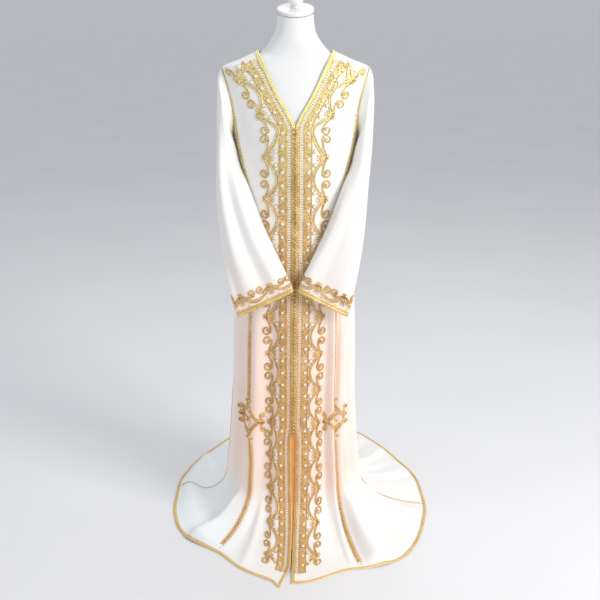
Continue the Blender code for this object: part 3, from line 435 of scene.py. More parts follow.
def seam_shift(turn, drop, side):
    """The turn that a panel keeps back from its seam."""
    return turn_step(mirrored(side, turn), drop, SEAM_HALF_GAP)


def centre_front_grid(side):
    """The centre front. Each row runs from the neckline or opening to the armhole or princess
    seam, and the rows lean from the shoulder line's slope to level at the underarm."""
    steps = BODICE_STEPS
    shares = np.linspace(0, 1, FRONT_COLUMNS)
    left_z = NECK_POINT_HEIGHT + (UNDERARM_HEIGHT - NECK_POINT_HEIGHT) * steps
    left_x = through(NECKLINE, "height", "across", left_z)
    right_z = SHOULDER_TIP_HEIGHT + (UNDERARM_HEIGHT - SHOULDER_TIP_HEIGHT) * steps
    princess = mirrored(side, princess_turn(side, right_z))
    right_turn = np.where(right_z > PRINCESS_TOP, armhole_turn(right_z, True), princess)
    right_x = half_width(right_z) * np.sin(np.radians(right_turn))
    top_x = left_x[0] + (right_x[0] - left_x[0]) * shares
    low_turn = turn_at(left_x[-1], UNDERARM_HEIGHT)
    low_turns = low_turn + (right_turn[-1] - low_turn) * shares
    bottom_x = half_width(UNDERARM_HEIGHT) * np.sin(np.radians(low_turns))
    left, right = np.stack([left_x, left_z], axis=-1), np.stack([right_x, right_z], axis=-1)
    top = np.stack([top_x, crest_height(top_x)], axis=-1)
    bottom = np.stack([bottom_x, np.full(FRONT_COLUMNS, UNDERARM_HEIGHT)], axis=-1)
    x, z = np.moveaxis(between(left, right, top, bottom, shares, steps), -1, 0)
    turns = turn_at(x, z)
    turns = np.minimum(turns, 90 - seam_shift(89.0, z, side))
    inner = mirrored(side, princess_turn(side, z[:, -1])) - seam_shift(turns[:, -1], z[:, -1], side)
    turns[:, -1] = np.where(z[:, -1] <= PRINCESS_TOP, inner, turns[:, -1])

    def row(drop):
        start = mirrored(side, front_edge_turn(side, drop))
        stop = mirrored(side, princess_turn(side, drop))
        return start + (stop - seam_shift(stop, drop, side) - start) * shares

    turns, drops = stacked(turns, z, levels_below(UNDERARM_HEIGHT), row)
    return mirrored(side, turns), drops


def side_front_grid(side):
    """The side front: a patch between four curves at the top, under the armhole, and level rows
    below it from the princess seam to the side seam."""
    rows, shares = SIDE_PATCH_ROWS, np.linspace(0, 1, SIDE_COLUMNS)
    left_drop = np.linspace(PRINCESS_TOP, PRINCESS_LEVEL, rows)
    right_drop = np.linspace(UNDERARM_HEIGHT, PRINCESS_LEVEL, rows)
    top_share = np.arccos((PRINCESS_TOP - ARMHOLE_MIDDLE) / ARMHOLE_HALF) / np.pi
    left = np.stack([mirrored(side, princess_turn(side, left_drop)), left_drop], axis=-1)
    right = np.stack([np.full(rows, 90.0), right_drop], axis=-1)
    top = np.stack(armhole(top_share + (1 - top_share) * shares, True), axis=-1)
    bottom = left[-1] + (right[-1] - left[-1]) * shares[:, None]
    grid = between(left, right, top, bottom, shares, np.linspace(0, 1, rows))
    turns, drops = grid[..., 0], grid[..., 1]
    turns[:, 0] += seam_shift(turns[:, 0], drops[:, 0], side)
    turns[:, -1] -= seam_shift(turns[:, -1], drops[:, -1], side)

    def row(drop):
        start = mirrored(side, princess_turn(side, drop))
        start = start + seam_shift(start, drop, side)
        return start + (90 - seam_shift(90.0, drop, side) - start) * shares

    turns, drops = stacked(turns, drops, levels_below(PRINCESS_LEVEL), row)
    return mirrored(side, turns), drops


def back_grid():
    """The back, from side seam to side seam, with the back neckline scooped out of its top."""
    steps = BODICE_STEPS
    side_z = SHOULDER_TIP_HEIGHT + (UNDERARM_HEIGHT - SHOULDER_TIP_HEIGHT) * steps
    side_x = half_width(side_z) * np.sin(np.radians(armhole_turn(side_z, False)))
    neck_x = float(half_width(NECK_POINT_HEIGHT))
    shoulder_columns = BACK_HALF_COLUMNS // 2
    shoulder_x = np.linspace(side_x[0], neck_x, shoulder_columns)
    neck_share = np.linspace(0, 1, BACK_HALF_COLUMNS - shoulder_columns + 1)[1:]
    scoop_z = NECK_POINT_HEIGHT - BACK_NECK_DROP * np.sin(neck_share * np.pi / 2)
    centre_z = scoop_z[-1] + (UNDERARM_HEIGHT - scoop_z[-1]) * steps
    low_turns = np.linspace(90, 180, BACK_HALF_COLUMNS)
    low_x = half_width(UNDERARM_HEIGHT) * np.sin(np.radians(low_turns))
    left = np.stack([side_x, side_z], axis=-1)
    right = np.stack([np.zeros(BODICE_ROWS), centre_z], axis=-1)
    top_x = np.concatenate([shoulder_x, neck_x * (1 - neck_share)])
    top = np.stack([top_x, np.concatenate([crest_height(shoulder_x), scoop_z])], axis=-1)
    bottom = np.stack([low_x, np.full(BACK_HALF_COLUMNS, UNDERARM_HEIGHT)], axis=-1)
    grid = between(left, right, top, bottom, np.linspace(0, 1, BACK_HALF_COLUMNS), steps)
    x, z = np.moveaxis(grid, -1, 0)
    turns = 180 - turn_at(x, z)
    turns = np.maximum(turns, 90 + turn_step(np.full(turns.shape, 91.0), z, SEAM_HALF_GAP))
    turns = np.hstack([turns, 360 - turns[:, -2::-1]])
    drops = np.hstack([z, z[:, -2::-1]])

    def row(drop):
        start = 90 + turn_step(90.0, drop, SEAM_HALF_GAP)
        stop = 270 - turn_step(270.0, drop, SEAM_HALF_GAP)
        return np.linspace(start, stop, 2 * BACK_HALF_COLUMNS - 1)

    return stacked(turns, drops, levels_below(UNDERARM_HEIGHT), row)


# ---- Sleeves -----------------------------------------------------------------------------------

SLEEVE_SIDES = 96
SLEEVE_RINGS_DOWN = 131
HEAD_RINGS = 16
HEAD_LENGTH = 0.05
SLEEVE_ROUND = 0.32
SLEEVE_LENGTH = 0.65
ARMHOLE_METRES_PER_DEGREE = 0.0032


def armhole_loop(side, around, lift, inwards):
    """Points and normals round the armhole, from the shoulder tip down the front. around runs
    from 0 to 1, and inwards is the distance kept towards the body at the front and back."""
    shares = 2 * np.mod(around, 1.0)
    front_turn, front_drop = armhole(shares, True)
    back_turn, back_drop = armhole(2 - shares, False)
    on_front = shares <= 1
    drops = np.where(on_front, front_drop, back_drop)
    kept_in = np.sin(np.pi * shares) * inwards / ARMHOLE_METRES_PER_DEGREE
    turns = mirrored(side, np.where(on_front, front_turn, back_turn) - kept_in)
    normals = body_normal(turns, drops)
    return body_point(turns, drops) + normals * lift, normals


def push_clear(points, clearance):
    """Moves points out of the body's oval, so that a sleeve lies against it and not in it."""
    height = np.clip(points[..., 2], BEND_HEIGHT, NECK_POINT_HEIGHT)
    wide, front, back = oval(CLOTH_SECTIONS, height)
    turn = np.degrees(np.arctan2(points[..., 0] / wide, -points[..., 1] / front)) % 360
    out = np.maximum(fold_depth(turn, height), 0)
    deep = np.where(points[..., 1] < 0, front, back)
    size = np.hypot(points[..., 0] / (wide + out), points[..., 1] / (deep + out))
    factor = np.maximum(1, (1 + clearance / deep) / np.maximum(size, 1e-6))
    return points * np.stack([factor, factor, np.ones_like(factor)], axis=-1)


def sleeve_fold_depth(side, around, station):
    """The sum of the sleeve's folds: bells round the ring, which drift and deepen to the cuff."""
    total = np.zeros(np.broadcast(around, station).shape)
    for fold in SLEEVE_FOLDS:
        if fold.side == side:
            middle = fold.around_high + (fold.around_low - fold.around_high) * np.clip(station, 0, 1)
            off = np.mod(around - middle + 0.5, 1.0) - 0.5
            strength = ease(fold.start, fold.start + 0.3, station) * (1 - 0.7 * ease(0.86, 1.0, station))
            total = total + fold.depth * strength * bump(off, fold.width)
    return total


def sleeve_tube(side, around, station, lift):
    """The sleeve below its head: a flat oval at each station, from its outer to its inner end,
    squared off a little by the power of the sine."""
    around, station = np.broadcast_arrays(around, station)
    ring = {name: through(SLEEVE_RINGS, "station", name, station) for name in SleeveRing._fields}
    outer_x = ring["left_x"] if side > 0 else ring["right_x"]
    outer = np.stack([outer_x * side, ring["middle_y"], ring["outer_z"]], axis=-1)
    inner = np.stack([ring["inner_x"] * side, ring["middle_y"], ring["inner_z"]], axis=-1)
    centre, half = (outer + inner) / 2, (outer - inner) / 2
    length = np.linalg.norm(half, axis=-1)
    lift = lift + sleeve_fold_depth(side, around, station)
    angle = 2 * np.pi * around
    along = half * ((length + lift) / length * np.cos(angle))[..., None]
    turned = np.sin(angle)
    deep = (ring["half_deep"] + lift) * np.sign(turned) * np.abs(turned) ** SLEEVE_SQUARENESS
    points = centre + along - np.stack([np.zeros_like(deep), deep, np.zeros_like(deep)], axis=-1)
    return push_clear(points, SLEEVE_CLEARANCE)


def sleeve_point(side, around, station, lift=0.0):
    """The sleeve's surface. Above station 0 it is a cubic from the armhole, at ARMHOLE_STATION,
    to the first ring, which it meets with the tube's own slope."""
    around, station = np.broadcast_arrays(np.asarray(around, float), np.asarray(station, float))
    tube = sleeve_tube(side, around, np.maximum(station, 0.0), lift)
    loop, _ = armhole_loop(side, around, SLEEVE_LIFT + lift, 0.0)
    first = sleeve_tube(side, around, np.zeros_like(station), lift)
    slope = (sleeve_tube(side, around, np.full_like(station, 0.02), lift) - first) / 0.02 * HEAD_LENGTH
    k = np.clip(1 - station / ARMHOLE_STATION, 0, 1)[..., None]
    head = loop * (1 + 2 * k) * (1 - k) ** 2 + first * k * k * (3 - 2 * k)
    head += (first - loop) * k * (1 - k) ** 2 - slope * k * k * (1 - k)
    return np.where((station < 0)[..., None], head, tube)


# ---- Patches: cloth that work is laid on, looked up by distance ---------------------------------


class Patch:
    """A grid of cloth points over even distances across, its columns, and along, its rows."""

    def __init__(self, across, along, points, outward):
        self.across, self.along, self.points = across, along, points
        normals = np.cross(np.gradient(points, axis=1), np.gradient(points, axis=0))
        normals /= np.linalg.norm(normals, axis=-1, keepdims=True)
        self.normals = normals * np.sign(np.dot(normals[0, 0], outward))

    def place(self, across, along, height):
        """Points above the cloth: the four grid points round each, weighted by nearness, plus
        the same mean of their normals times the height."""
        across, along, height = np.broadcast_arrays(across, along, height)
        columns, rows = len(self.across), len(self.along)
        u = (across - self.across[0]) / (self.across[-1] - self.across[0]) * (columns - 1)
        v = (along - self.along[0]) / (self.along[-1] - self.along[0]) * (rows - 1)
        i = np.clip(np.floor(u).astype(int), 0, columns - 2)
        j = np.clip(np.floor(v).astype(int), 0, rows - 2)
        a, b = (u - i)[..., None], (v - j)[..., None]
        found = []
        for grid in (self.points, self.normals):
            low = grid[j, i] * (1 - a) + grid[j, i + 1] * a
            high = grid[j + 1, i] * (1 - a) + grid[j + 1, i + 1] * a
            found.append(low * (1 - b) + high * b)
        return found[0] + found[1] * height[..., None]

    def stretch(self, across, along, step=0.006):
        """How long one metre along is on the cloth, near a place."""
        ends = self.place(np.array([across, across]), np.array([along - step, along + step]), np.zeros(2))
        return max(np.linalg.norm(ends[1] - ends[0]) / (2 * step), 0.4)


GRID_STEP = 0.003


def march(turn, drop, slope, distances, way, share=1.0):
    """Turn and drop at each distance from a start: small steps round the cloth times the cosine
    of slope, and down it times the sine. way is +1 towards higher turns and -1 towards lower,
    and share narrows or widens each row."""
    turns, drops = [turn], [drop]
    small = 0.002
    for distance in np.diff(distances):
        step = distance * share
        per_degree = np.linalg.norm(body_point(turn + 0.5, drop) - body_point(turn - 0.5, drop), axis=-1)
        fall = body_point(turn, drop + small) - body_point(turn, np.maximum(drop - small, 0))
        per_drop = np.linalg.norm(fall, axis=-1) / (drop + small - np.maximum(drop - small, 0))
        turn = turn + way * np.cos(slope) * step / per_degree
        drop = np.maximum(drop - np.sin(slope) * step / per_drop, 0)
        turns.append(turn)
        drops.append(drop)
    return np.stack(turns, axis=1), np.stack(drops, axis=1)


def evenly(turns, drops, zero_drop):
    """A path resampled at even distances, counted from the place where its drop is zero_drop."""
    length = run_length(body_point(turns, drops))
    length -= np.interp(-zero_drop, -drops, length)
    low = np.ceil(length[0] / GRID_STEP) * GRID_STEP
    even = np.arange(low, length[-1], GRID_STEP)
    return even, np.interp(even, length, turns), np.interp(even, length, drops)


BandWidth = namedtuple("BandWidth", "along share")
BAND_WIDTHS = rows_of(
    BandWidth,
    (-0.20, 1.07), (-0.06, 0.96), (0.09, 1.01), (0.40, 0.99),
    (0.65, 0.93), (0.90, 0.88), (1.20, 0.87), (1.35, 0.89),
)
BAND_REACH = 0.126
BAND_SLOPE = 27.0
BAND_TURNS_FROM = 0.055
BAND_TURNS_TO = -0.065


def band_patch(side):
    """The cloth beside the front opening: across is the distance from the edge, and along the
    distance down the edge from the point of the V, negative up the neckline. The rows turn from
    level below the point to square with the neckline above it."""
    neck = np.linspace(NECK_POINT_HEIGHT, NECKLINE_BOTTOM, 160)
    neck_turn = turn_at(through(NECKLINE, "height", "across", neck), neck)
    front = np.linspace(NECKLINE_BOTTOM, 0, 900)[1:]
    drops = np.concatenate([neck, front])
    turns = np.concatenate([mirrored(side, neck_turn), front_edge_turn(side, front)])
    along, turns, drops = evenly(turns, drops, NECKLINE_BOTTOM)
    slope = np.radians(BAND_SLOPE) * (1 - ease(BAND_TURNS_TO, BAND_TURNS_FROM, along))
    across = np.arange(0, BAND_REACH, GRID_STEP)
    width = through(BAND_WIDTHS, "along", "share", along)
    turns, drops = march(turns, drops, slope, across, side, width)
    points = body_point(turns, drops)
    return Patch(across, along, points, body_normal(turns[0, 0], drops[0, 0]))


def seam_patch(turn_at, top, reach):
    """The cloth beside a seam that runs down the garment: across is the distance from the seam
    towards higher turns, and along the distance down it from the given drop."""
    drops = np.linspace(top, 0, 900)
    along, turns, drops = evenly(turn_at(drops), drops, top)
    out = np.arange(0, reach, GRID_STEP)
    level = np.zeros_like(turns)
    high_turns, high_drops = march(turns, drops, level, out, 1)
    low_turns, low_drops = march(turns, drops, level, out, -1)
    turns = np.hstack([low_turns[:, :0:-1], high_turns])
    drops = np.hstack([low_drops[:, :0:-1], high_drops])
    across = np.concatenate([-out[:0:-1], out])
    return Patch(across, along, body_point(turns, drops), body_normal(turns[0, 0], drops[0, 0]))


HEM_OVERHANG = 0.006
HEM_REACH = 0.030


def hem_patch():
    """The cloth along the hem, from the left front edge round to the right: across is the
    distance in from the hem, and reaches a little past it over the floor."""
    ends = front_edge_turn(1, 0.0), front_edge_turn(-1, 0.0)
    turns = np.linspace(ends[0], ends[1], 2400)
    edge = body_point(turns, np.zeros_like(turns))
    length = run_length(edge)
    along = np.arange(0, length[-1], GRID_STEP)
    along = np.linspace(0, length[-1], len(along))
    turns = np.interp(along, length, turns)
    across = np.arange(-HEM_OVERHANG, HEM_REACH, GRID_STEP)
    small_drop = 0.004
    near = body_point(turns, np.full_like(turns, small_drop))
    edge = body_point(turns, np.zeros_like(turns))
    rate = np.linalg.norm(near - edge, axis=-1) / small_drop
    outward = (edge - near) / np.linalg.norm(edge - near, axis=-1, keepdims=True)
    inside = body_point(turns[:, None], np.maximum(across, 0)[None] / rate[:, None])
    points = inside + outward[:, None] * np.maximum(-across, 0)[None, :, None]
    return Patch(across, along, points, (0, 0, 1))


def back_neck_patch():
    """The cloth round the back of the neck, from one neck point to the other: across is the
    distance down from the neckline, turning from along the shoulder to straight down."""
    neck_x = float(half_width(NECK_POINT_HEIGHT))
    share = np.linspace(-1, 1, 200)
    drops = NECK_POINT_HEIGHT - BACK_NECK_DROP * np.sin((1 - np.abs(share)) * np.pi / 2)
    turns = 180 + turn_at(neck_x * share, drops)
    length = run_length(body_point(turns, drops))
    along = np.linspace(0, length[-1], 100)
    turns, drops = np.interp(along, length, turns), np.interp(along, length, drops)
    share = np.interp(along, length, share)
    slope = np.radians(20 + 70 * ease(0, 0.5, 1 - np.abs(share)))
    across = np.arange(0, 0.018, GRID_STEP)
    turns, drops = march(turns, drops, slope, across, np.sign(share))
    return Patch(across, along, body_point(turns, drops), (0, 0, 1))


CUFF_REACH = 0.070
CUFF_OVERLAP = 0.06


def cuff_patch(side):
    """The cloth above a cuff: across is the distance up from the cuff's edge, and along the
    distance round it, from its outer end over the front."""
    around = np.linspace(0, 1, 721)
    edge = sleeve_point(side, around, 1.0)
    length = run_length(edge)
    rows = int(round((length[-1] + 2 * CUFF_OVERLAP) / GRID_STEP))
    along = np.linspace(-CUFF_OVERLAP, length[-1] + CUFF_OVERLAP, rows)
    share = np.interp(np.mod(along, length[-1]), length, around)
    above = sleeve_point(side, 0.25, 0.90)
    metres_per_station = np.linalg.norm(above - sleeve_point(side, 0.25, 1.0)) / 0.10
    across = np.arange(0, CUFF_REACH, GRID_STEP)
    points = sleeve_point(side, share[:, None], 1.0 - across[None] / metres_per_station)
    middle = (sleeve_point(side, 0.0, 1.0) + sleeve_point(side, 0.5, 1.0)) / 2
    patch = Patch(across, along, points, points[0, 0] - middle)
    patch.circumference = length[-1]
    return patch


# ---- Meshes ------------------------------------------------------------------------------------


def strip_faces(rows, columns, closed_rows=False, closed_columns=False):
    """Quads of a grid whose points are numbered row by row."""
    r = np.arange(rows if closed_rows else rows - 1)[:, None]
    c = np.arange(columns if closed_columns else columns - 1)[None, :]
    next_r, next_c = (r + 1) % rows, (c + 1) % columns
    corners = ((r, c), (r, next_c), (next_r, next_c), (next_r, c))
    return np.stack([row * columns + column for row, column in corners], axis=-1).reshape(-1, 4)


def cap_faces(columns, start, flip):
    """Quads, the last of them a triangle where the count is odd, that close a ring of points."""
    quads = [(0, k, k + 1, min(k + 2, columns - 1)) for k in range(1, columns - 2, 2)]
    faces = np.array(quads) + start
    return faces[:, ::-1] if flip else faces


def closed_faces(rings, sides):
    """The faces of a stack of rings that is closed at both ends."""
    low, high = cap_faces(sides, 0, False), cap_faces(sides, (rings - 1) * sides, True)
    return np.vstack([strip_faces(rings, sides, closed_columns=True), low, high])


def repeated(faces, count, points_each):
    """The same faces for each of count equal sets of points."""
    return (faces[None] + (np.arange(count) * points_each)[:, None, None]).reshape(-1, faces.shape[1])


def signed_volume(points, faces):
    """The volume inside closed faces, positive where they point outwards."""
    a, b, c, d = (points[faces[:, k]] for k in range(4))
    first = np.einsum("ij,ij->i", a, np.cross(b, c))
    second = np.einsum("ij,ij->i", a, np.cross(c, d))
    return (first + second).sum() / 6


def facing_out(points, faces, like=None, judged=0):
    """The faces, turned over if they enclose less than nothing or, where a direction is given, if
    the judged face looks away from it."""
    if like is None:
        keep = signed_volume(points - points.mean(axis=0), faces) > 0
    else:
        a, b, d = points[faces[judged, [0, 1, 3]]]
        keep = np.dot(np.cross(b - a, d - a), like) > 0
    return faces if keep else faces[:, ::-1]


def add_piece(name, points, faces, material, uv=None, smooth=True):
    """An object whose place is in its mesh, riding on the garment's one body. uv is one pair of
    metres for each point."""
    points = np.asarray(points, float).reshape(-1, 3)
    tidy = []
    for face in faces.tolist():
        corners = list(dict.fromkeys(face))
        if len(corners) > 2:
            tidy.append(corners)
    mesh = bpy.data.meshes.new(name)
    mesh.from_pydata(points.tolist(), [], tidy)
    if smooth:
        mesh.shade_smooth()
    if uv is not None:
        layer = mesh.uv_layers.new(name="Metres")
        corner_point = np.zeros(len(mesh.loops), int)
        mesh.loops.foreach_get("vertex_index", corner_point)
        layer.data.foreach_set("uv", np.asarray(uv, float).reshape(-1, 2)[corner_point].ravel())
    mesh.materials.append(material)
    mesh.update()
    piece = bpy.data.objects.new(name, mesh)
    bpy.context.scene.collection.objects.link(piece)
    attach(piece, BODY)
    return piece


HALF_ROUND = ((-1.0, 0.0), (-0.66, 0.72), (0.0, 1.0), (0.66, 0.72), (1.0, 0.0), (0.0, -0.25))
FLAT_BRAID = (
    (-1.0, 0.0),
    (-0.92, 0.62),
    (-0.52, 1.0),
    (-0.10, 0.70),
    (0.0, 0.40),
    (0.10, 0.70),
    (0.52, 1.0),
    (0.92, 0.62),
    (1.0, 0.0),
    (0.0, -0.2),
)
ROUND_BRAID = (
    (-1.0, 0.0),
    (-0.90, 0.62),
    (-0.45, 0.96),
    (0.0, 1.0),
    (0.45, 0.96),
    (0.90, 0.62),
    (1.0, 0.0),
    (0.0, -0.2),
)
BASE_HEIGHT = 0.0003


def carried(patch, lines, wide, height, section=HALF_ROUND, rounding=0.06):
    """Cords laid on a patch: a section carried along each centre line, and drawn in over a share
    of it, rounding, at each end. lines is (cords, points, 2); wide, half the width, and height may
    differ by cord or by point. Returns the points, faces and UVs of closed tubes."""
    lines = np.asarray(lines, float)
    cords, count = lines.shape[:2]
    tangent = np.gradient(lines, axis=1)
    tangent /= np.maximum(np.linalg.norm(tangent, axis=-1, keepdims=True), 1e-9)
    normal = np.stack([-tangent[..., 1], tangent[..., 0]], axis=-1)
    share = np.linspace(0, 1, count)
    drawn = np.clip(np.minimum(share, 1 - share) / max(rounding, 1e-6), 0.02, 1) ** 0.5
    wide = np.broadcast_to(wide, (cords, count)) * drawn
    height = np.broadcast_to(height, (cords, count)) * drawn
    section = np.array(section)
    off = section[:, 0] * wide[..., None]
    at = lines[:, :, None] + normal[:, :, None] * off[..., None]
    up = BASE_HEIGHT + section[:, 1] * height[..., None]
    points = patch.place(at[..., 0], at[..., 1], up)
    steps = np.linalg.norm(np.diff(lines, axis=1), axis=-1)
    run = np.concatenate([np.zeros((cords, 1)), np.cumsum(steps, axis=1)], axis=1)
    uv = np.stack([np.broadcast_to(run[..., None], off.shape), off], axis=-1)
    points = points.reshape(-1, 3)
    per_cord = count * len(section)
    first = facing_out(points[:per_cord], closed_faces(count, len(section)))
    return points, repeated(first, cords, per_cord), uv.reshape(-1, 2)


def studded(patch, places, radius, height, profile, sides, closed=False):
    """Beads, stones or rings at places on a patch: a profile of (radius, height) shares carried
    round each. An open profile is capped top and bottom."""
    places = np.asarray(places, float)
    count = len(places)
    radius = np.broadcast_to(radius, count)[:, None, None]
    height = np.broadcast_to(height, count)[:, None, None]
    profile = np.array(profile)
    angle = np.arange(sides) * 2 * np.pi / sides
    reach = profile[:, 0][None, :, None] * radius
    across = places[:, 0, None, None] + reach * np.cos(angle)
    along = places[:, 1, None, None] + reach * np.sin(angle)
    up = BASE_HEIGHT + profile[:, 1][None, :, None] * height + 0 * across
    points = patch.place(across, along, up)
    if closed:
        faces = strip_faces(len(profile), sides, closed_rows=True, closed_columns=True)
    else:
        faces = closed_faces(len(profile), sides)
    per_stud = len(profile) * sides
    points = points.reshape(-1, 3)
    turned_out = facing_out(points[:per_stud], faces)
    uv = np.stack([across, along], axis=-1).reshape(-1, 2)
    return points, repeated(turned_out, count, per_stud), uv


def joined(*parts):
    """Several (points, faces, uv) sets as one."""
    points, faces, uvs, start = [], [], [], 0
    for part_points, part_faces, part_uv in parts:
        points.append(part_points)
        faces.append(part_faces + start)
        uvs.append(part_uv)
        start += len(part_points)
    return np.vstack(points), np.vstack(faces), np.vstack(uvs)


BEAD = ((1.0, 0.0), (0.95, 0.55), (0.45, 1.0))
STONE = ((1.0, 0.0), (1.0, 0.45), (0.60, 1.0))
STONE_RING = ((0.78, 0.0), (0.78, 0.8), (0.92, 1.0), (1.12, 0.75), (1.20, 0.0))


# ---- Finishes ----------------------------------------------------------------------------------


def new_material(name, **values):
    """A node material: the material, its tree, its shader with the given inputs set (a space in
    an input's name is written as an underscore), and the object coordinates."""
    material = bpy.data.materials.new(name)
    material.use_nodes = True
    tree = material.node_tree
    shader = tree.nodes["Principled BSDF"]
    for key, value in values.items():
        shader.inputs[key.replace("_", " ")].default_value = value
    return material, tree, shader, tree.nodes.new("ShaderNodeTexCoord").outputs["Object"]


def node(tree, kind, vector=None, **settings):
    """A node of a kind, with its settings and its inputs' values set, and its vector fed."""
    made = tree.nodes.new(kind)
    for key, value in settings.items():
        if key in made.inputs:
            made.inputs[key].default_value = value
        else:
            setattr(made, key, value)
    if vector is not None:
        tree.links.new(vector, made.inputs["Vector"])
    return made


def ramp(tree, factor, stops):
    """A colour ramp with the given (position, colour) stops, fed by a socket."""
    made = tree.nodes.new("ShaderNodeValToRGB")
    elements = made.color_ramp.elements
    while len(elements) < len(stops):
        elements.new(0.5)
    for element, (position, colour) in zip(elements, stops):
        element.position = position
        element.color = (*colour, 1.0)
    tree.links.new(factor, made.inputs["Fac"])
    return made.outputs["Color"]


def mapped(tree, value, low, high, to_low=0.0, to_high=1.0):
    """A value smoothly carried from one range to another."""
    made = node(tree, "ShaderNodeMapRange", interpolation_type="SMOOTHSTEP")
    for key, end in (("From Min", low), ("From Max", high), ("To Min", to_low), ("To Max", to_high)):
        made.inputs[key].default_value = end
    tree.links.new(value, made.inputs["Value"])
    return made.outputs["Result"]


def times(tree, first, *others):
    """The product of several sockets."""
    total = first
    for value in others:
        made = node(tree, "ShaderNodeMath", operation="MULTIPLY")
        tree.links.new(total, made.inputs[0])
        tree.links.new(value, made.inputs[1])
        total = made.outputs["Value"]
    return total


def blended(tree, factor, first, second):
    """One colour, a socket or a tuple, mixed with another by a factor socket."""
    made = node(tree, "ShaderNodeMix", data_type="RGBA")
    tree.links.new(factor, made.inputs["Factor"])
    colours = [socket for socket in made.inputs if socket.type == "RGBA"]
    for socket, value in zip(colours, (first, second)):
        if isinstance(value, tuple):
            socket.default_value = (*value, 1.0)
        else:
            tree.links.new(value, socket)
    return next(socket for socket in made.outputs if socket.type == "RGBA")


def bumped(tree, shader, height, strength, distance, under=None):
    """A bump of a height socket, over another bump where one is given."""
    made = node(tree, "ShaderNodeBump", Strength=strength, Distance=distance)
    tree.links.new(height, made.inputs["Height"])
    if under is not None:
        tree.links.new(under, made.inputs["Normal"])
    tree.links.new(made.outputs["Normal"], shader.inputs["Normal"])
    return made.outputs["Normal"]


def noise_of(tree, vector, scale, detail=2.0, roughness=0.5):
    """The height of a cloud noise."""
    made = node(tree, "ShaderNodeTexNoise", vector, Scale=scale, Detail=detail, Roughness=roughness)
    return made.outputs["Fac"]


def scaled(colour, share):
    """A colour made darker."""
    return tuple(share * part for part in colour)


def satin_finish(name, cloth, pink_glow, train_shade):
    """Satin-backed crepe: ivory, with a peach tint down the skirt's front that is painted light, the pink
    glow falling there, a cool white painted over the train as its shade, a fine crosswise weave and soft
    crumples."""
    material, tree, shader, place = new_material(
        name, Roughness=0.42, Sheen_Weight=0.25, Sheen_Roughness=0.4, Specular_IOR_Level=0.45
    )
    x, y, z = node(tree, "ShaderNodeSeparateXYZ", place).outputs
    # Painted light: the pink glow down the skirt's front, a peach tint that fades out towards the neck and
    # the floor, strongest at the front, in soft patches.
    high = mapped(tree, z, 0.92, 0.52)
    low = mapped(tree, z, 0.05, 0.20, 0.08, 1.0)
    front = mapped(tree, y, 0.02, -0.10)
    patches = mapped(tree, noise_of(tree, place, 5.0, 3.0), 0.25, 0.75, 0.62, 1.0)
    colour = blended(tree, times(tree, high, low, front, patches), cloth, pink_glow)
    # Painted shade: a cool white over the train, low on the floor on the wearer's right.
    train_shade_mask = times(tree, mapped(tree, z, 0.16, 0.05), mapped(tree, x, -0.05, -0.30))
    tree.links.new(blended(tree, train_shade_mask, colour, train_shade), shader.inputs["Base Color"])
    weave = node(tree, "ShaderNodeTexWave", place, bands_direction="Z", Scale=420.0, Distortion=1.2)
    weave.inputs["Detail"].default_value = 1.0
    fine = bumped(tree, shader, weave.outputs["Fac"], 0.10, 0.0004)
    bumped(tree, shader, noise_of(tree, place, 9.0, 4.0, 0.55), 0.22, 0.010, under=fine)
    return material


# at_neck is the paler tone painted towards the neck as light, over the heights in neck_range.
Gold = namedtuple("Gold", "dark middle at_neck neck_range roughness specks ribs")
# An orange gold, painted low on the skirt as the cast of the pink glow; the knots take it near the neck too.
ORANGE_GOLD = (0.78, 0.46, 0.17)
THREAD = Gold(
    dark=(0.60, 0.35, 0.13),
    middle=(0.84, 0.56, 0.25),
    at_neck=(0.86, 0.75, 0.36),
    neck_range=(0.85, 1.28),
    roughness=0.40,
    specks=0.60,
    ribs=(1500, 900, 0),
)
BRAID = Gold(
    dark=(0.66, 0.43, 0.13),
    middle=(0.84, 0.60, 0.23),
    at_neck=(0.92, 0.88, 0.36),
    neck_range=(1.15, 1.24),
    roughness=0.38,
    specks=0.25,
    ribs=(900, 1500, 0),
)
KNOT = Gold(
    dark=(0.42, 0.20, 0.06),
    middle=(0.76, 0.47, 0.17),
    at_neck=ORANGE_GOLD,
    neck_range=(1.15, 1.24),
    roughness=0.34,
    specks=0.55,
    ribs=(1500, 900, 0),
)


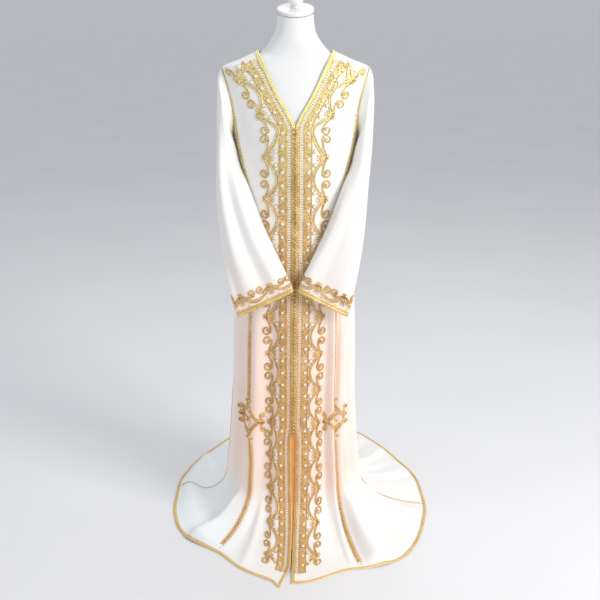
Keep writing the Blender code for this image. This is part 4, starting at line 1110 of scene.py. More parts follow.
def gold_finish(name, light, gold):
    """Gold thread: metal wound on silk, with fine slanting ribs along each cord whose grooves are painted
    darker as shade, and the tone painted by height: paler towards the neck as painted light, through gold, to
    a more orange gold low on the skirt, the painted cast of the pink glow, and paler again at the front hem."""
    material, tree, shader, place = new_material(name, Metallic=0.30, Roughness=gold.roughness)
    strand = node(tree, "ShaderNodeUVMap", uv_map="Metres")
    slant = node(tree, "ShaderNodeVectorMath", operation="DOT_PRODUCT")
    slant.inputs[1].default_value = gold.ribs
    tree.links.new(strand.outputs["UV"], slant.inputs[0])
    wave = node(tree, "ShaderNodeMath", operation="SINE")
    tree.links.new(slant.outputs["Value"], wave.inputs[0])
    height = mapped(tree, wave.outputs["Value"], -1.0, 1.0)
    drift = noise_of(tree, place, 26.0, 3.0, 0.6)
    speck = noise_of(tree, place, 190.0, 2.0, 0.7)
    _, y, z = node(tree, "ShaderNodeSeparateXYZ", place).outputs
    tone = ramp(tree, drift, ((0.30, gold.dark), (0.52, gold.middle), (0.72, light)))
    at_hem = times(tree, mapped(tree, z, 0.14, 0.02, 0.0, 0.50), mapped(tree, y, -0.20, -0.32))
    for factor, colour in (
        # Painted shade: the grooves between the ribs darker.
        (mapped(tree, height, 0.0, 0.5, 0.55, 0.0), gold.dark),
        (mapped(tree, speck, 0.54, 0.66, 0.0, 0.65), light),
        # Painted light: paler towards the neck, where the light falls brightest.
        (mapped(tree, z, *gold.neck_range, 0.0, 0.75), gold.at_neck),
        (at_hem, gold.at_neck),
        # Painted light: a more orange gold low on the skirt, the cast of the pink glow.
        (mapped(tree, z, 0.85, 0.30, 0.0, 0.55), ORANGE_GOLD),
        (mapped(tree, speck, 0.48, 0.36, 0.0, gold.specks), scaled(gold.dark, 0.55)),
    ):
        tone = blended(tree, factor, tone, colour)
    tree.links.new(tone, shader.inputs["Base Color"])
    bumped(tree, shader, height, 0.55, 0.0005)
    return material


def stone_finish(name, colour):
    """Cut glass, backed with white foil: bright, hard and glossy."""
    material, tree, shader, place = new_material(
        name, Roughness=0.06, IOR=1.7, Coat_Weight=1.0, Coat_Roughness=0.03
    )
    facets = node(tree, "ShaderNodeTexVoronoi", place, Scale=420.0)
    shade = mapped(tree, facets.outputs["Distance"], 0.0, 0.8)
    tree.links.new(blended(tree, shade, colour, (0.78, 0.76, 0.74)), shader.inputs["Base Color"])
    return material


def amber_finish(name, colour):
    """The strip behind the opening, ribbed across its length, in an amber that is painted shade: gold in the
    shadow of the narrow gap.
    """
    material, tree, shader, place = new_material(name, Roughness=0.38, Sheen_Weight=0.3)
    ribs = node(tree, "ShaderNodeTexWave", place, bands_direction="Z", Scale=180.0, Distortion=0.6)
    tone = ramp(tree, noise_of(tree, place, 30.0, 3.0), ((0.3, scaled(colour, 0.80)), (0.7, colour)))
    tree.links.new(tone, shader.inputs["Base Color"])
    bumped(tree, shader, ribs.outputs["Fac"], 0.35, 0.0006)
    return material


def cover_finish(name, colour):
    """The dress form's glossy white cover, with faint handling marks in its gloss."""
    material, tree, shader, place = new_material(name, Coat_Weight=0.5, Coat_Roughness=0.12)
    marks = noise_of(tree, place, 14.0, 5.0, 0.6)
    tone = ramp(tree, marks, ((0.3, scaled(colour, 0.965)), (0.7, colour)))
    tree.links.new(tone, shader.inputs["Base Color"])
    tree.links.new(mapped(tree, marks, 0.3, 0.7, 0.20, 0.30), shader.inputs["Roughness"])
    bumped(tree, shader, noise_of(tree, place, 260.0, 2.0), 0.05, 0.0006)
    return material


def steel_finish(name, colour):
    """Brushed steel: fine streaks round the pole and base."""
    material, tree, shader, place = new_material(name, Metallic=1.0)
    stretched = node(tree, "ShaderNodeMapping", place, Scale=(6.0, 6.0, 500.0))
    streaks = noise_of(tree, stretched.outputs["Vector"], 4.0, 3.0)
    tone = ramp(tree, streaks, ((0.3, scaled(colour, 0.8)), (0.7, colour)))
    tree.links.new(tone, shader.inputs["Base Color"])
    tree.links.new(mapped(tree, streaks, 0.2, 0.8, 0.24, 0.42), shader.inputs["Roughness"])
    bumped(tree, shader, streaks, 0.08, 0.0006)
    return material


def floor_finish(name, colour):
    """A plain pale floor, barely mottled."""
    material, tree, shader, place = new_material(name, Roughness=0.62)
    tone = ramp(tree, noise_of(tree, place, 1.6, 4.0), ((0.3, scaled(colour, 0.97)), (0.7, colour)))
    tree.links.new(tone, shader.inputs["Base Color"])
    return material


# The first is the cool white of the painted shade over the train.
PAINTED_SHADE_WHITE = (0.86, 0.90, 0.90)
STONE_WHITE = (0.95, 0.95, 0.95)
STEEL_GREY = (0.62, 0.62, 0.63)


def chosen():
    """The settings in force."""
    return bpy.context.scene.kaftan


def finish(key):
    """The finish of a kind, made once from the chosen colours and then shared."""
    cloth, pink_glow, gold, braid, ribbon, cover, floor = (
        tuple(getattr(chosen(), part + "_colour"))
        for part in ("cloth", "pink_glow", "gold", "braid", "ribbon", "form", "floor")
    )
    maker, name, *details = {
        "satin": (satin_finish, "Ivory_Satin_Crepe", cloth, pink_glow, PAINTED_SHADE_WHITE),
        "gold": (gold_finish, "Gold_Thread", gold, THREAD),
        "braid": (gold_finish, "Lemon_Gold_Braid", braid, BRAID),
        "knot": (gold_finish, "Old_Gold_Knots", gold, KNOT),
        "stone": (stone_finish, "White_Cut_Glass", STONE_WHITE),
        "amber": (amber_finish, "Amber_Satin_Ribbon", ribbon),
        "cover": (cover_finish, "White_Form_Cover", cover),
        "steel": (steel_finish, "Brushed_Steel", STEEL_GREY),
        "floor": (floor_finish, "Pale_Floor", floor),
    }[key]
    return bpy.data.materials.get(name) or maker(name, *details)


# ---- The work: what is sewn on, drawn flat ------------------------------------------------------

Band = namedtuple("Band", "out inwards spiral_out spiral_radius scale")
FRONT_BAND = Band(0.0850, 0.0475, 0.0860, 0.0130, 1.0)
CUFF_BAND = Band(0.0480, 0.0220, 0.0475, 0.0104, 0.92)
BAND_NODES = (
    -0.172, -0.066, 0.087, 0.202, 0.313, 0.425, 0.537,
    0.648, 0.756, 0.860, 0.962, 1.066, 1.170, 1.284,
)
BAND_END = 1.346
BAND_START = -0.205
SPIRAL_SHARES = (0.37, 0.655)
HALF_CELLS = (-0.017, 0.026)
TOP_SPIRAL_RADIUS = 0.0085
ARC_POINTS = 26
HALF_ARC_POINTS = 14
HALF_ARC_LENGTHS = 2.3
ARC_HALF_GAP = 0.0032
COIL_HALF_GAP = 0.0018
EDGE_BRAID_HALF = 0.0046
EDGE_BRAID_MIDDLE = 0.0049
BACK_NECK_BRAID_MIDDLE = 0.0050
HEM_BRAID_MIDDLE = 0.0048
HEM_BRAID_HALF = 0.0050
CUFF_BRAID_ROWS = (0.0042, 0.0118)
PIPING_SIDES = 8
PIPING_RADIUS = 0.0012
LADDER = (0.0118, 0.0198)
LADDER_PITCH = 0.0071
BEAD_COLUMN = 0.0242
BEAD_COLUMN_HALF = 0.0030
BEAD_PITCH = 0.0046
BRAID_BEADS_FROM = 0.850
STONE_COLUMN = 0.0345
STONE_PITCH = 0.036
STONE_START = 0.006
CROSSING_SWING = 0.0052
FRAME_HALF = 0.0072
LONG_ROUNDING = 0.004
STONE_RADIUS = 0.0052
CUFF_STONE_RADIUS = 0.0024
VINE_STONE_RADIUS = 0.0026
CUFF_FIRST_NODE = 0.030
BORDER_LINE = 0.0440


def curve(points, count):
    """A Bezier curve through four control points, at even parameter steps."""
    a, b, c, d = (np.array(point, float) for point in points)
    k = np.linspace(0, 1, count)[:, None]
    return a * (1 - k) ** 3 + 3 * b * k * (1 - k) ** 2 + 3 * c * k * k * (1 - k) + d * k**3


def doubled(line, distance):
    """Two lines, one on each side of a line at a distance."""
    tangent = np.gradient(line, axis=0)
    tangent /= np.linalg.norm(tangent, axis=-1, keepdims=True)
    aside = np.stack([-tangent[:, 1], tangent[:, 0]], axis=-1) * distance
    return [line - aside, line + aside]


def scroll_arc(band, start, stop):
    """An arc from node to node that bows in towards the edge as a power of a half sine."""
    share = np.linspace(0, 1, ARC_POINTS)
    bow = (band.out - band.inwards) * np.sin(np.pi * share) ** 0.85
    return np.stack([band.out - bow, start + (stop - start) * share], axis=-1)


def scroll_spiral(band, node_at, middle, stretch, coils=1.2):
    """A stem from a node to the inner side of a spiral, and the spiral itself, whose radius
    shrinks evenly with the angle. stretch is how long one metre along is on the cloth there."""
    way = np.sign(middle - node_at)
    radius, out = band.spiral_radius, band.spiral_out
    start = np.array([band.out - 0.002 * band.scale, node_at + way * 0.004 * band.scale])
    reach = abs(middle - node_at)
    entry = np.array([out - radius, middle])
    leave = start + (-0.10 * reach, way * 0.30 * reach)
    arrive = entry - (0, way * 0.40 * reach)
    stem = curve((start, leave, arrive, entry), 11)
    angle = np.linspace(0, 2 * np.pi * coils, 27)[1:]
    shrunk = radius * (1 - 0.68 * angle / angle[-1])
    coil = np.stack([out - shrunk * np.cos(angle), middle + way * shrunk * np.sin(angle) / stretch], axis=-1)
    return np.vstack([stem, coil])


FAN_LEAVES = ((-1.0, 0.022), (-0.5, 0.028), (0.0, 0.031), (0.5, 0.028), (1.0, 0.022))
FAN_POINTS = (-0.7, 0.0, 0.7)


def node_fans(band, node_at):
    """The leaves of a node's palmette: five, fanned in towards the edge, and three points out."""
    scale = band.scale
    leaves = []
    for lean, reach in FAN_LEAVES:
        tip = (band.out - reach * scale, node_at + lean * 0.016 * scale)
        bend = (band.out - 0.5 * reach * scale, node_at + lean * 0.004 * scale)
        start = (band.out, node_at)
        leaves.append(curve((start, bend, tip, tip), 10))
    for lean in FAN_POINTS:
        tip = (band.out + 0.010 * scale * (1 - 0.35 * abs(lean)), node_at + lean * 0.012 * scale)
        start = (band.out - 0.002 * scale, node_at)
        middle = (band.out + 0.004 * scale, node_at + lean * 0.004 * scale)
        leaves.append(curve((start, middle, tip, tip), 10))
    return leaves


LEAF_SHAPE = np.array([0.35, 0.55, 0.80, 1.0, 1.0, 0.92, 0.78, 0.58, 0.36, 0.12])
Bead = namedtuple("Bead", "inwards aside radius")
NODE_BEAD = Bead(0.002, 0.0, 0.0050)
NODE_BEADS = rows_of(Bead, (0.003, 0.0085, 0.0036), (0.017, 0.0125, 0.0018), (0.026, 0.0065, 0.0018))
SPIRAL_BEAD = 0.0022
NODE_STONE = (0.033, 0.0185)


def scroll_work(patch, band, nodes, first_half=None, last_half=None):
    """The cords and beads of a run of scrolls between nodes, with half a cell beyond each end
    where a length is given for it. Returns cord and bead parts, and the places of stones."""
    scale = band.scale
    arcs, spirals, leaves, bead_at, stones = [], [], [], [], []
    for start, stop in zip(nodes[:-1], nodes[1:]):
        arc = scroll_arc(band, start, stop)
        arcs += doubled(arc, ARC_HALF_GAP * scale)
        for node_at, share in ((start, SPIRAL_SHARES[0]), (stop, SPIRAL_SHARES[1])):
            middle = start + (stop - start) * share
            spirals.append(scroll_spiral(band, node_at, middle, patch.stretch(band.spiral_out, middle)))
            bead_at.append((band.spiral_out, middle, SPIRAL_BEAD))
    for end, length in ((nodes[0], first_half), (nodes[-1], last_half)):
        if length is not None:
            tight = band._replace(spiral_out=band.out, spiral_radius=TOP_SPIRAL_RADIUS)
            small = band if length > 0 else tight
            stretch = patch.stretch(small.spiral_out, end + length)
            spirals.append(scroll_spiral(small, end, end + length, stretch))
            half = scroll_arc(band, end, end + HALF_ARC_LENGTHS * length)[:HALF_ARC_POINTS]
            even = np.linspace(0, HALF_ARC_POINTS - 1, ARC_POINTS)
            arc = [np.interp(even, np.arange(HALF_ARC_POINTS), half[:, k]) for k in (0, 1)]
            arcs += doubled(np.stack(arc, axis=-1), ARC_HALF_GAP * scale)
    for node_at in nodes:
        leaves += node_fans(band, node_at)
        bead_at.append((band.out - NODE_BEAD.inwards * scale, node_at, NODE_BEAD.radius))
        for way in (-1, 1):
            for bead in NODE_BEADS:
                along = node_at + way * bead.aside * scale
                bead_at.append((band.out - bead.inwards * scale, along, bead.radius))
            stones.append((band.out - NODE_STONE[0] * scale, node_at + way * NODE_STONE[1] * scale))
    coils = [side for line in spirals for side in doubled(line, COIL_HALF_GAP * scale)]
    cords = joined(
        carried(patch, arcs, 0.0027 * scale, 0.0022 * scale),
        carried(patch, coils, 0.0016 * scale, 0.0020 * scale),
        carried(patch, leaves, 0.0021 * scale * LEAF_SHAPE, 0.0021 * scale, rounding=0.0),
    )
    bead_at = np.array(bead_at)
    beads = studded(patch, bead_at[:, :2], bead_at[:, 2] * scale, 0.9 * bead_at[:, 2] * scale, BEAD, 8)
    return cords, beads, stones


def straight(out, low, high, step=1.5 * GRID_STEP):
    """A line along a patch at a distance from its edge."""
    along = np.linspace(low, high, max(int((high - low) / step), 2))
    return np.stack([np.full_like(along, out), along], axis=-1)


def add_trim(name, part, key, replaced=(), smooth=True):
    """A piece made of one (points, faces, uv) part, in a finish, and the nodes it replaces."""
    points, faces, uv = part
    piece = add_piece(name, points, faces, finish(key), uv, smooth)
    if replaced:
        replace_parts(piece, *replaced)


def add_stones(name, patch, places, radius):
    """White stones in gold rings: one piece of each."""
    stones = studded(patch, places, radius, radius * 0.75, STONE, 10)
    add_trim(name + "_Stones", stones, "stone", smooth=False)
    return studded(patch, places, radius, radius * 0.55, STONE_RING, 10, closed=True)


SIDES = ((1, "Left"), (-1, "Right"))
PRINCESS_REACH = 0.084
SIDE_SEAM_REACH = 0.008


@functools.cache
def patch_for(kind, side):
    """The band, seam, side or cuff patch of one side, worked out once."""
    if kind == "band":
        return band_patch(side)
    if kind == "princess":
        return seam_patch(lambda drop: princess_turn(side, drop), PRINCESS_TOP, PRINCESS_REACH)
    if kind == "side":
        seam = mirrored(side, 90.0)
        return seam_patch(lambda drop: np.full(np.shape(drop), seam), UNDERARM_HEIGHT, SIDE_SEAM_REACH)
    return cuff_patch(side)


def front_band_parts(patch):
    """The straight rows of the front band: the ladder of bars, the column of beads between two
    cords, the ringed stones with crosses of beads between them, and the border cord."""
    across = np.linspace(*LADDER, 5)
    bars_at = np.arange(BAND_START, BAND_END, LADDER_PITCH)
    bars = [np.stack([across, np.full(5, at)], axis=-1) for at in bars_at]
    row_at = (LADDER[0] - 0.0012, BEAD_COLUMN - BEAD_COLUMN_HALF, BEAD_COLUMN + BEAD_COLUMN_HALF, BORDER_LINE)
    rows = [straight(out, BAND_START, BAND_END) for out in row_at]
    bead_ground = straight(BEAD_COLUMN, BAND_START, BAND_END)
    stone_ground = straight(STONE_COLUMN, BAND_START, BAND_END)
    wave = (stone_ground[:, 1] - BAND_START - STONE_START) / STONE_PITCH
    swing = CROSSING_SWING * np.sin(2 * np.pi * wave + np.pi / 2)
    crossing = [np.stack([STONE_COLUMN + way * swing, stone_ground[:, 1]], axis=-1) for way in (-1, 1)]
    frame_rows = [straight(STONE_COLUMN + way * FRAME_HALF, BAND_START, BAND_END) for way in (-1, 1)]
    cords = joined(
        carried(patch, bars, 0.0018, 0.0016, rounding=0.3),
        carried(patch, rows, 0.0011, 0.0013, rounding=LONG_ROUNDING),
        carried(patch, [bead_ground], BEAD_COLUMN_HALF, 0.0007, ROUND_BRAID, LONG_ROUNDING),
        carried(patch, [stone_ground], 0.0070, 0.0006, ROUND_BRAID, LONG_ROUNDING),
        carried(patch, crossing + frame_rows, 0.0011, 0.0012, rounding=LONG_ROUNDING),
    )
    bead_at = [(BEAD_COLUMN, at) for at in np.arange(BAND_START, BAND_END, BEAD_PITCH)]
    stone_at = np.arange(BAND_START + STONE_START, BAND_END - STONE_START, STONE_PITCH)
    for at in (stone_at[:-1] + stone_at[1:]) / 2:
        bead_at += [(STONE_COLUMN + a * 0.0032, at + b * 0.0040) for a in (-1, 1) for b in (-1, 1)]
        bead_at += [(STONE_COLUMN, at + along) for along in (0.0, -0.0085, 0.0085)]
    bead_at += [(BORDER_LINE - 0.0030, at) for at in np.arange(BAND_START, BAND_END, 2 * BEAD_PITCH)]
    on_braid = [(EDGE_BRAID_MIDDLE, at) for at in np.arange(BRAID_BEADS_FROM, BAND_END, BEAD_PITCH)]
    beads = joined(
        studded(patch, bead_at, 0.0018, 0.0017, BEAD, 6),
        studded(patch, on_braid, 0.0019, 0.0034, BEAD, 6),
    )
    return cords, beads, [(STONE_COLUMN, at) for at in stone_at]


VINE_HALF = 0.0040
VINE_PITCH = 0.018
VINE_STEP = 0.0022
VINE_LEAF = (0.0048, 0.0060)
FLEUR_GAP = 0.010
VINE_TOP = 0.004
VINE_ABOVE_HEM = 0.030
FLEUR_DROP = 0.342
FLEUR_HALF_HIGH = 0.056
FLEUR_HALF_WIDE = 0.044
FLEUR_AWAY_STRETCH = 1.45
SIDE_KNOT_DROP = 0.006
CURL_RADIUS = 0.0075
KNOT_BEADS = ((1.0, 0.0060), (0.80, 0.0042), (1.16, 0.0036))


def vine_parts(patch, low, high):
    """A vine from one distance to another: two cords that cross as opposite sines, a bead in
    each eye, and a small leaf out from each bend."""
    along = np.linspace(low, high, int((high - low) / VINE_STEP))
    swing = VINE_HALF * np.sin(2 * np.pi * (along - low) / VINE_PITCH)
    cords = [np.stack([way * swing, along], axis=-1) for way in (-1, 1)]
    eyes = np.arange(low + VINE_PITCH / 4, high, VINE_PITCH / 2)
    leaves = []
    for way in (-1, 1):
        for at in eyes:
            start = (way * VINE_HALF, at)
            tip = (way * (VINE_HALF + VINE_LEAF[0]), at + VINE_LEAF[1])
            leaves.append(curve((start, start, tip, tip), 5))
    beads = [(0.0, at) for at in eyes]
    return joined(
        carried(patch, cords, 0.0019, 0.0022, rounding=LONG_ROUNDING),
        carried(patch, leaves, 0.0014, 0.0014, rounding=0.3),
        studded(patch, beads, 0.0024, 0.0026, BEAD, 6),
    )


def fleur_curl(knot, way, turn_way):
    """A curl out of a side knot: a stem, and a spiral that shrinks evenly with its angle."""
    centre = (knot[0] + way * 0.004, knot[1] + turn_way * 0.022)
    angle = np.linspace(0, 2 * np.pi * 1.1, 20)
    shrunk = CURL_RADIUS * (1 - 0.75 * angle / angle[-1])
    out = centre[0] - way * shrunk * np.cos(angle)
    along = centre[1] + turn_way * shrunk * np.sin(angle)
    entry = (centre[0] - way * CURL_RADIUS, centre[1])
    stem = curve((knot, knot, (entry[0], entry[1] - turn_way * 0.010), entry), 8)
    return np.vstack([stem[:-1], np.stack([out, along], axis=-1)])


def fleur_parts(patch, middle, away):
    """The flower on each princess seam: four knots joined by double cords that bow inwards,
    curls out of the two side knots, and four petals round a stone. The half on the away side,
    +1 or -1 across, is drawn wider."""
    tall, wide = FLEUR_HALF_HIGH, FLEUR_HALF_WIDE
    knots = [(0.0, -tall), (wide, SIDE_KNOT_DROP), (0.0, tall), (-wide, SIDE_KNOT_DROP)]
    ways = [(way, turn_way) for way in (-1, 1) for turn_way in (-1, 1)]
    curls = [fleur_curl((way * wide, SIDE_KNOT_DROP), way, turn_way) for way, turn_way in ways]
    bows, petals, beads = [], [], [(0, 0.0, 0.0030)]
    for a, b in zip(knots, knots[1:] + knots[:1]):
        bow = curve((a, (a[0] * 0.62, a[1] * 0.62), (b[0] * 0.62, b[1] * 0.62), b), 18)
        bows += doubled(bow, 0.0030)
    for angle in np.radians((45, 135, 225, 315)):
        start = (0.003 * np.cos(angle), 0.003 * np.sin(angle))
        tip = (0.015 * np.cos(angle), 0.017 * np.sin(angle))
        petals.append(curve((start, start, tip, tip), 10))
    for at in knots:
        beads += [(at[0] * share, at[1] * share, size) for share, size in KNOT_BEADS]
        start = np.array(at) * 0.94
        outward = start / np.linalg.norm(start)
        level = np.array((-outward[1], outward[0]))
        for lean in (-1.0, -0.5, 0.5, 1.0):
            tip = start + outward * 0.013 * (1 - 0.6 * abs(lean)) + level * 0.013 * lean
            petals.append(curve((start, start + outward * 0.004, tip, tip), 10))
    coils = [side for line in curls for side in doubled(line, 0.0014)]
    beads = np.array(beads)

    def placed(lines):
        """The lines at the flower's place, with its away half widened."""
        lines = np.array(lines)
        wider = np.where(lines[..., 0] * away > 0, FLEUR_AWAY_STRETCH, 1.0)
        return np.stack([lines[..., 0] * wider, lines[..., 1] + middle], axis=-1)

    cords = joined(
        carried(patch, placed(bows), 0.0029, 0.0025),
        carried(patch, placed(coils), 0.0018, 0.0022),
        carried(patch, placed(petals), 0.0034 * LEAF_SHAPE, 0.0022, rounding=0.0),
        studded(patch, placed(beads[:, :2]), beads[:, 2], 0.8 * beads[:, 2], BEAD, 8),
    )
    return cords, [(0.0, middle - 0.020), (0.0, middle), (0.0, middle + 0.020)]


# ---- Settings ----------------------------------------------------------------------------------


def size_choice(name, description, default, low, high):
    """A length that a user may change, in metres."""
    return bpy.props.FloatProperty(
        name=name, description=description, unit="LENGTH", default=default, min=low, max=high
    )


def colour_choice(name, description, default):
    """A colour that a user may change."""
    return bpy.props.FloatVectorProperty(
        name=name, description=description, subtype="COLOR", size=3, min=0.0, max=1.0, default=default
    )


class KaftanSettings(bpy.types.PropertyGroup):
    """The sizes and colours that a user may change"""

    cloth_thickness: size_choice("Cloth Thickness", "Thickness of the lined satin", 0.0015, 0.0005, 0.0019)
    braid_height: size_choice("Braid Height", "How far the edge braid stands up", 0.0016, 0.0008, 0.003)
    button_radius: size_choice("Button Radius", "Radius of each knotted button", 0.0038, 0.002, 0.005)
    stone_radius: size_choice("Stone Radius", "Radius of each white stone", STONE_RADIUS, 0.002, 0.006)
    cloth_colour: colour_choice("Cloth", "Colour of the satin", (0.90, 0.885, 0.85))
    # Painted light: the peach tint of the pink glow down the skirt's front.
    pink_glow_colour: colour_choice("Blush", "Colour of the lining that shows in front", (0.95, 0.70, 0.58))
    gold_colour: colour_choice("Gold", "Lightest colour of the gold thread", (0.98, 0.80, 0.47))
    braid_colour: colour_choice("Braid", "Lightest colour of the edge braid", (0.95, 0.80, 0.42))
    # The strip's amber is painted shade: gold in the shadow of the gap behind the opening.
    ribbon_colour: colour_choice("Ribbon", "Colour of the strip behind the opening", (0.95, 0.36, 0.09))
    form_colour: colour_choice("Form Cover", "Colour of the dress form", (0.86, 0.86, 0.85))
    floor_colour: colour_choice("Floor", "Colour of the studio floor", (0.80, 0.80, 0.81))


# ---- Operators ---------------------------------------------------------------------------------


def cloth_panel(name, grid, replaced):
    """One panel of the body cloth, with its wall grown inwards."""
    turns, drops = grid
    points = body_point(turns, drops).reshape(-1, 3)
    faces = facing_out(points, strip_faces(*turns.shape), body_normal(turns[1, 1], drops[1, 1]))
    uv = np.stack([turns * UV_METRES_PER_DEGREE, drops], axis=-1)
    piece = add_piece(name, points, faces, finish("satin"), uv)
    thicken(piece, chosen().cloth_thickness)
    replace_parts(piece, replaced)


def thicken(piece, thickness):
    """A wall grown inwards from the outer surface."""
    wall = piece.modifiers.new("Wall", "SOLIDIFY")
    wall.thickness = thickness
    wall.offset = -1.0
    wall.use_even_offset = False


class KAFTAN_OT_body(bpy.types.Operator):
    """Builds the two centre fronts, the two side fronts and the back with its train"""

    bl_idname = "kaftan.body"
    bl_label = "Body Cloth"

    def execute(self, context):
        for side, word in SIDES:
            cloth_panel("Front_" + word, centre_front_grid(side), "front_" + word.lower())
            cloth_panel("Side_Front_" + word, side_front_grid(side), "side_front_" + word.lower())
        cloth_panel("Back", back_grid(), "back")
        return {"FINISHED"}


class KAFTAN_OT_sleeves(bpy.types.Operator):
    """Builds the two long sleeves, from the armholes to the slanting cuffs"""

    bl_idname = "kaftan.sleeves"
    bl_label = "Sleeves"

    def execute(self, context):
        around = np.arange(SLEEVE_SIDES) / SLEEVE_SIDES
        head = np.linspace(ARMHOLE_STATION, 0, HEAD_RINGS, endpoint=False)
        stations = np.concatenate([head, np.linspace(0, 1, SLEEVE_RINGS_DOWN)])
        for side, word in SIDES:
            points = sleeve_point(side, around[None], stations[:, None])
            half_way = len(stations) // 2
            outward = points[half_way, 0] - points[half_way].mean(axis=0)
            points = points.reshape(-1, 3)
            faces = strip_faces(len(stations), SLEEVE_SIDES, closed_columns=True)
            faces = facing_out(points, faces, outward, half_way * SLEEVE_SIDES)
            uv = np.stack(np.broadcast_arrays(
                around[None] * SLEEVE_ROUND,
                stations[:, None] * SLEEVE_LENGTH,
            ), axis=-1)
            piece = add_piece("Sleeve_" + word, points, faces, finish("satin"), uv)
            thicken(piece, chosen().cloth_thickness)
            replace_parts(piece, "sleeve_" + word.lower())
        return {"FINISHED"}


class KAFTAN_OT_braids(bpy.types.Operator):
    """Sews braid down the front edges, round the back neck, the hem and the cuffs"""

    bl_idname = "kaftan.braids"
    bl_label = "Braids"

    def execute(self, context):
        high = chosen().braid_height
        for side, word in SIDES:
            patch = patch_for("band", side)
            line = straight(EDGE_BRAID_MIDDLE, patch.along[0], patch.along[-1] - 0.001)
            part = carried(patch, [line], EDGE_BRAID_HALF, high, FLAT_BRAID, 0.001)
            add_trim("Front_Braid_" + word, part, "braid", ["front_braid_" + word.lower()])
            cuff = patch_for("cuff", side)
            wide, narrow = (straight(out, 0.0, cuff.circumference) for out in CUFF_BRAID_ROWS)
            part = joined(
                carried(cuff, [wide], EDGE_BRAID_HALF, high * 1.3, ROUND_BRAID, 0.0),
                carried(cuff, [narrow], 0.0022, high, ROUND_BRAID, 0.0),
            )
            add_trim("Cuff_Braid_" + word, part, "braid", ["cuff_braid_" + word.lower()])
        neck = back_neck_patch()
        line = straight(BACK_NECK_BRAID_MIDDLE, neck.along[0], neck.along[-1])
        part = carried(neck, [line], EDGE_BRAID_HALF, high, FLAT_BRAID, 0.0)
        add_trim("Back_Neck_Braid", part, "braid", ["back_neck_braid"])
        hem = hem_patch()
        line = straight(HEM_BRAID_MIDDLE, hem.along[0], hem.along[-1])
        part = carried(hem, [line], HEM_BRAID_HALF, high * 1.2, ROUND_BRAID, 0.0005)
        nodes = [panel + word for panel in ("front_", "side_front_") for word in ("left", "right")]
        add_trim("Hem_Braid", part, "braid", ["hem_braid_" + panel for panel in ("back", *nodes)])
        return {"FINISHED"}


def round_cord(path, out, radius, sides):
    """A round cord through 3-D points: a circle at each, square to the path."""
    along = np.gradient(path, axis=0)
    along /= np.linalg.norm(along, axis=-1, keepdims=True)
    across = np.cross(along, out)
    across /= np.linalg.norm(across, axis=-1, keepdims=True)
    angle = (np.arange(sides) * 2 * np.pi / sides)[None, :, None]
    ring = np.cos(angle) * across[:, None] + np.sin(angle) * np.cross(across, along)[:, None]
    return path[:, None] + radius * ring


class KAFTAN_OT_piping(bpy.types.Operator):
    """Pipes the side seams and the armholes with thin gold cord"""

    bl_idname = "kaftan.piping"
    bl_label = "Piping"

    def execute(self, context):
        for side, word in SIDES:
            seam = patch_for("side", side)
            line = straight(0.0, 0.004, seam.along[-1] - 0.013)
            part = carried(seam, [line], 0.0013, 0.0016, rounding=0.002)
            add_trim("Side_Piping_" + word, part, "braid", ["side_piping_" + word.lower()])
            around = np.linspace(0, 1, 140, endpoint=False)
            path, normals = armhole_loop(side, around, 0.0018, 0.0030)
            points = round_cord(path, normals, PIPING_RADIUS, PIPING_SIDES).reshape(-1, 3)
            faces = strip_faces(len(path), PIPING_SIDES, closed_rows=True, closed_columns=True)
            round_it = np.arange(PIPING_SIDES) * 0.75 * PIPING_RADIUS
            uv = np.stack(np.broadcast_arrays(around[:, None] * 0.5, round_it), axis=-1).reshape(-1, 2)
            part = (points, facing_out(points, faces), uv)
            add_trim("Armhole_Piping_" + word, part, "braid", ["armhole_piping_" + word.lower()])
        return {"FINISHED"}


EDGE_BRAID_TOP = 0.0020
KNOT_SIDES = 10
KNOT_RINGS = 7
KNOT_SHAPE = (1.12, 0.92, 1.0)
STRIP_BOTTOM = 0.052
STRIP_HALF_WIDTH = 0.012
STRIP_COLUMNS = 9
STRIP_BEHIND = 0.0020
STRIP_THICKNESS = 0.0009


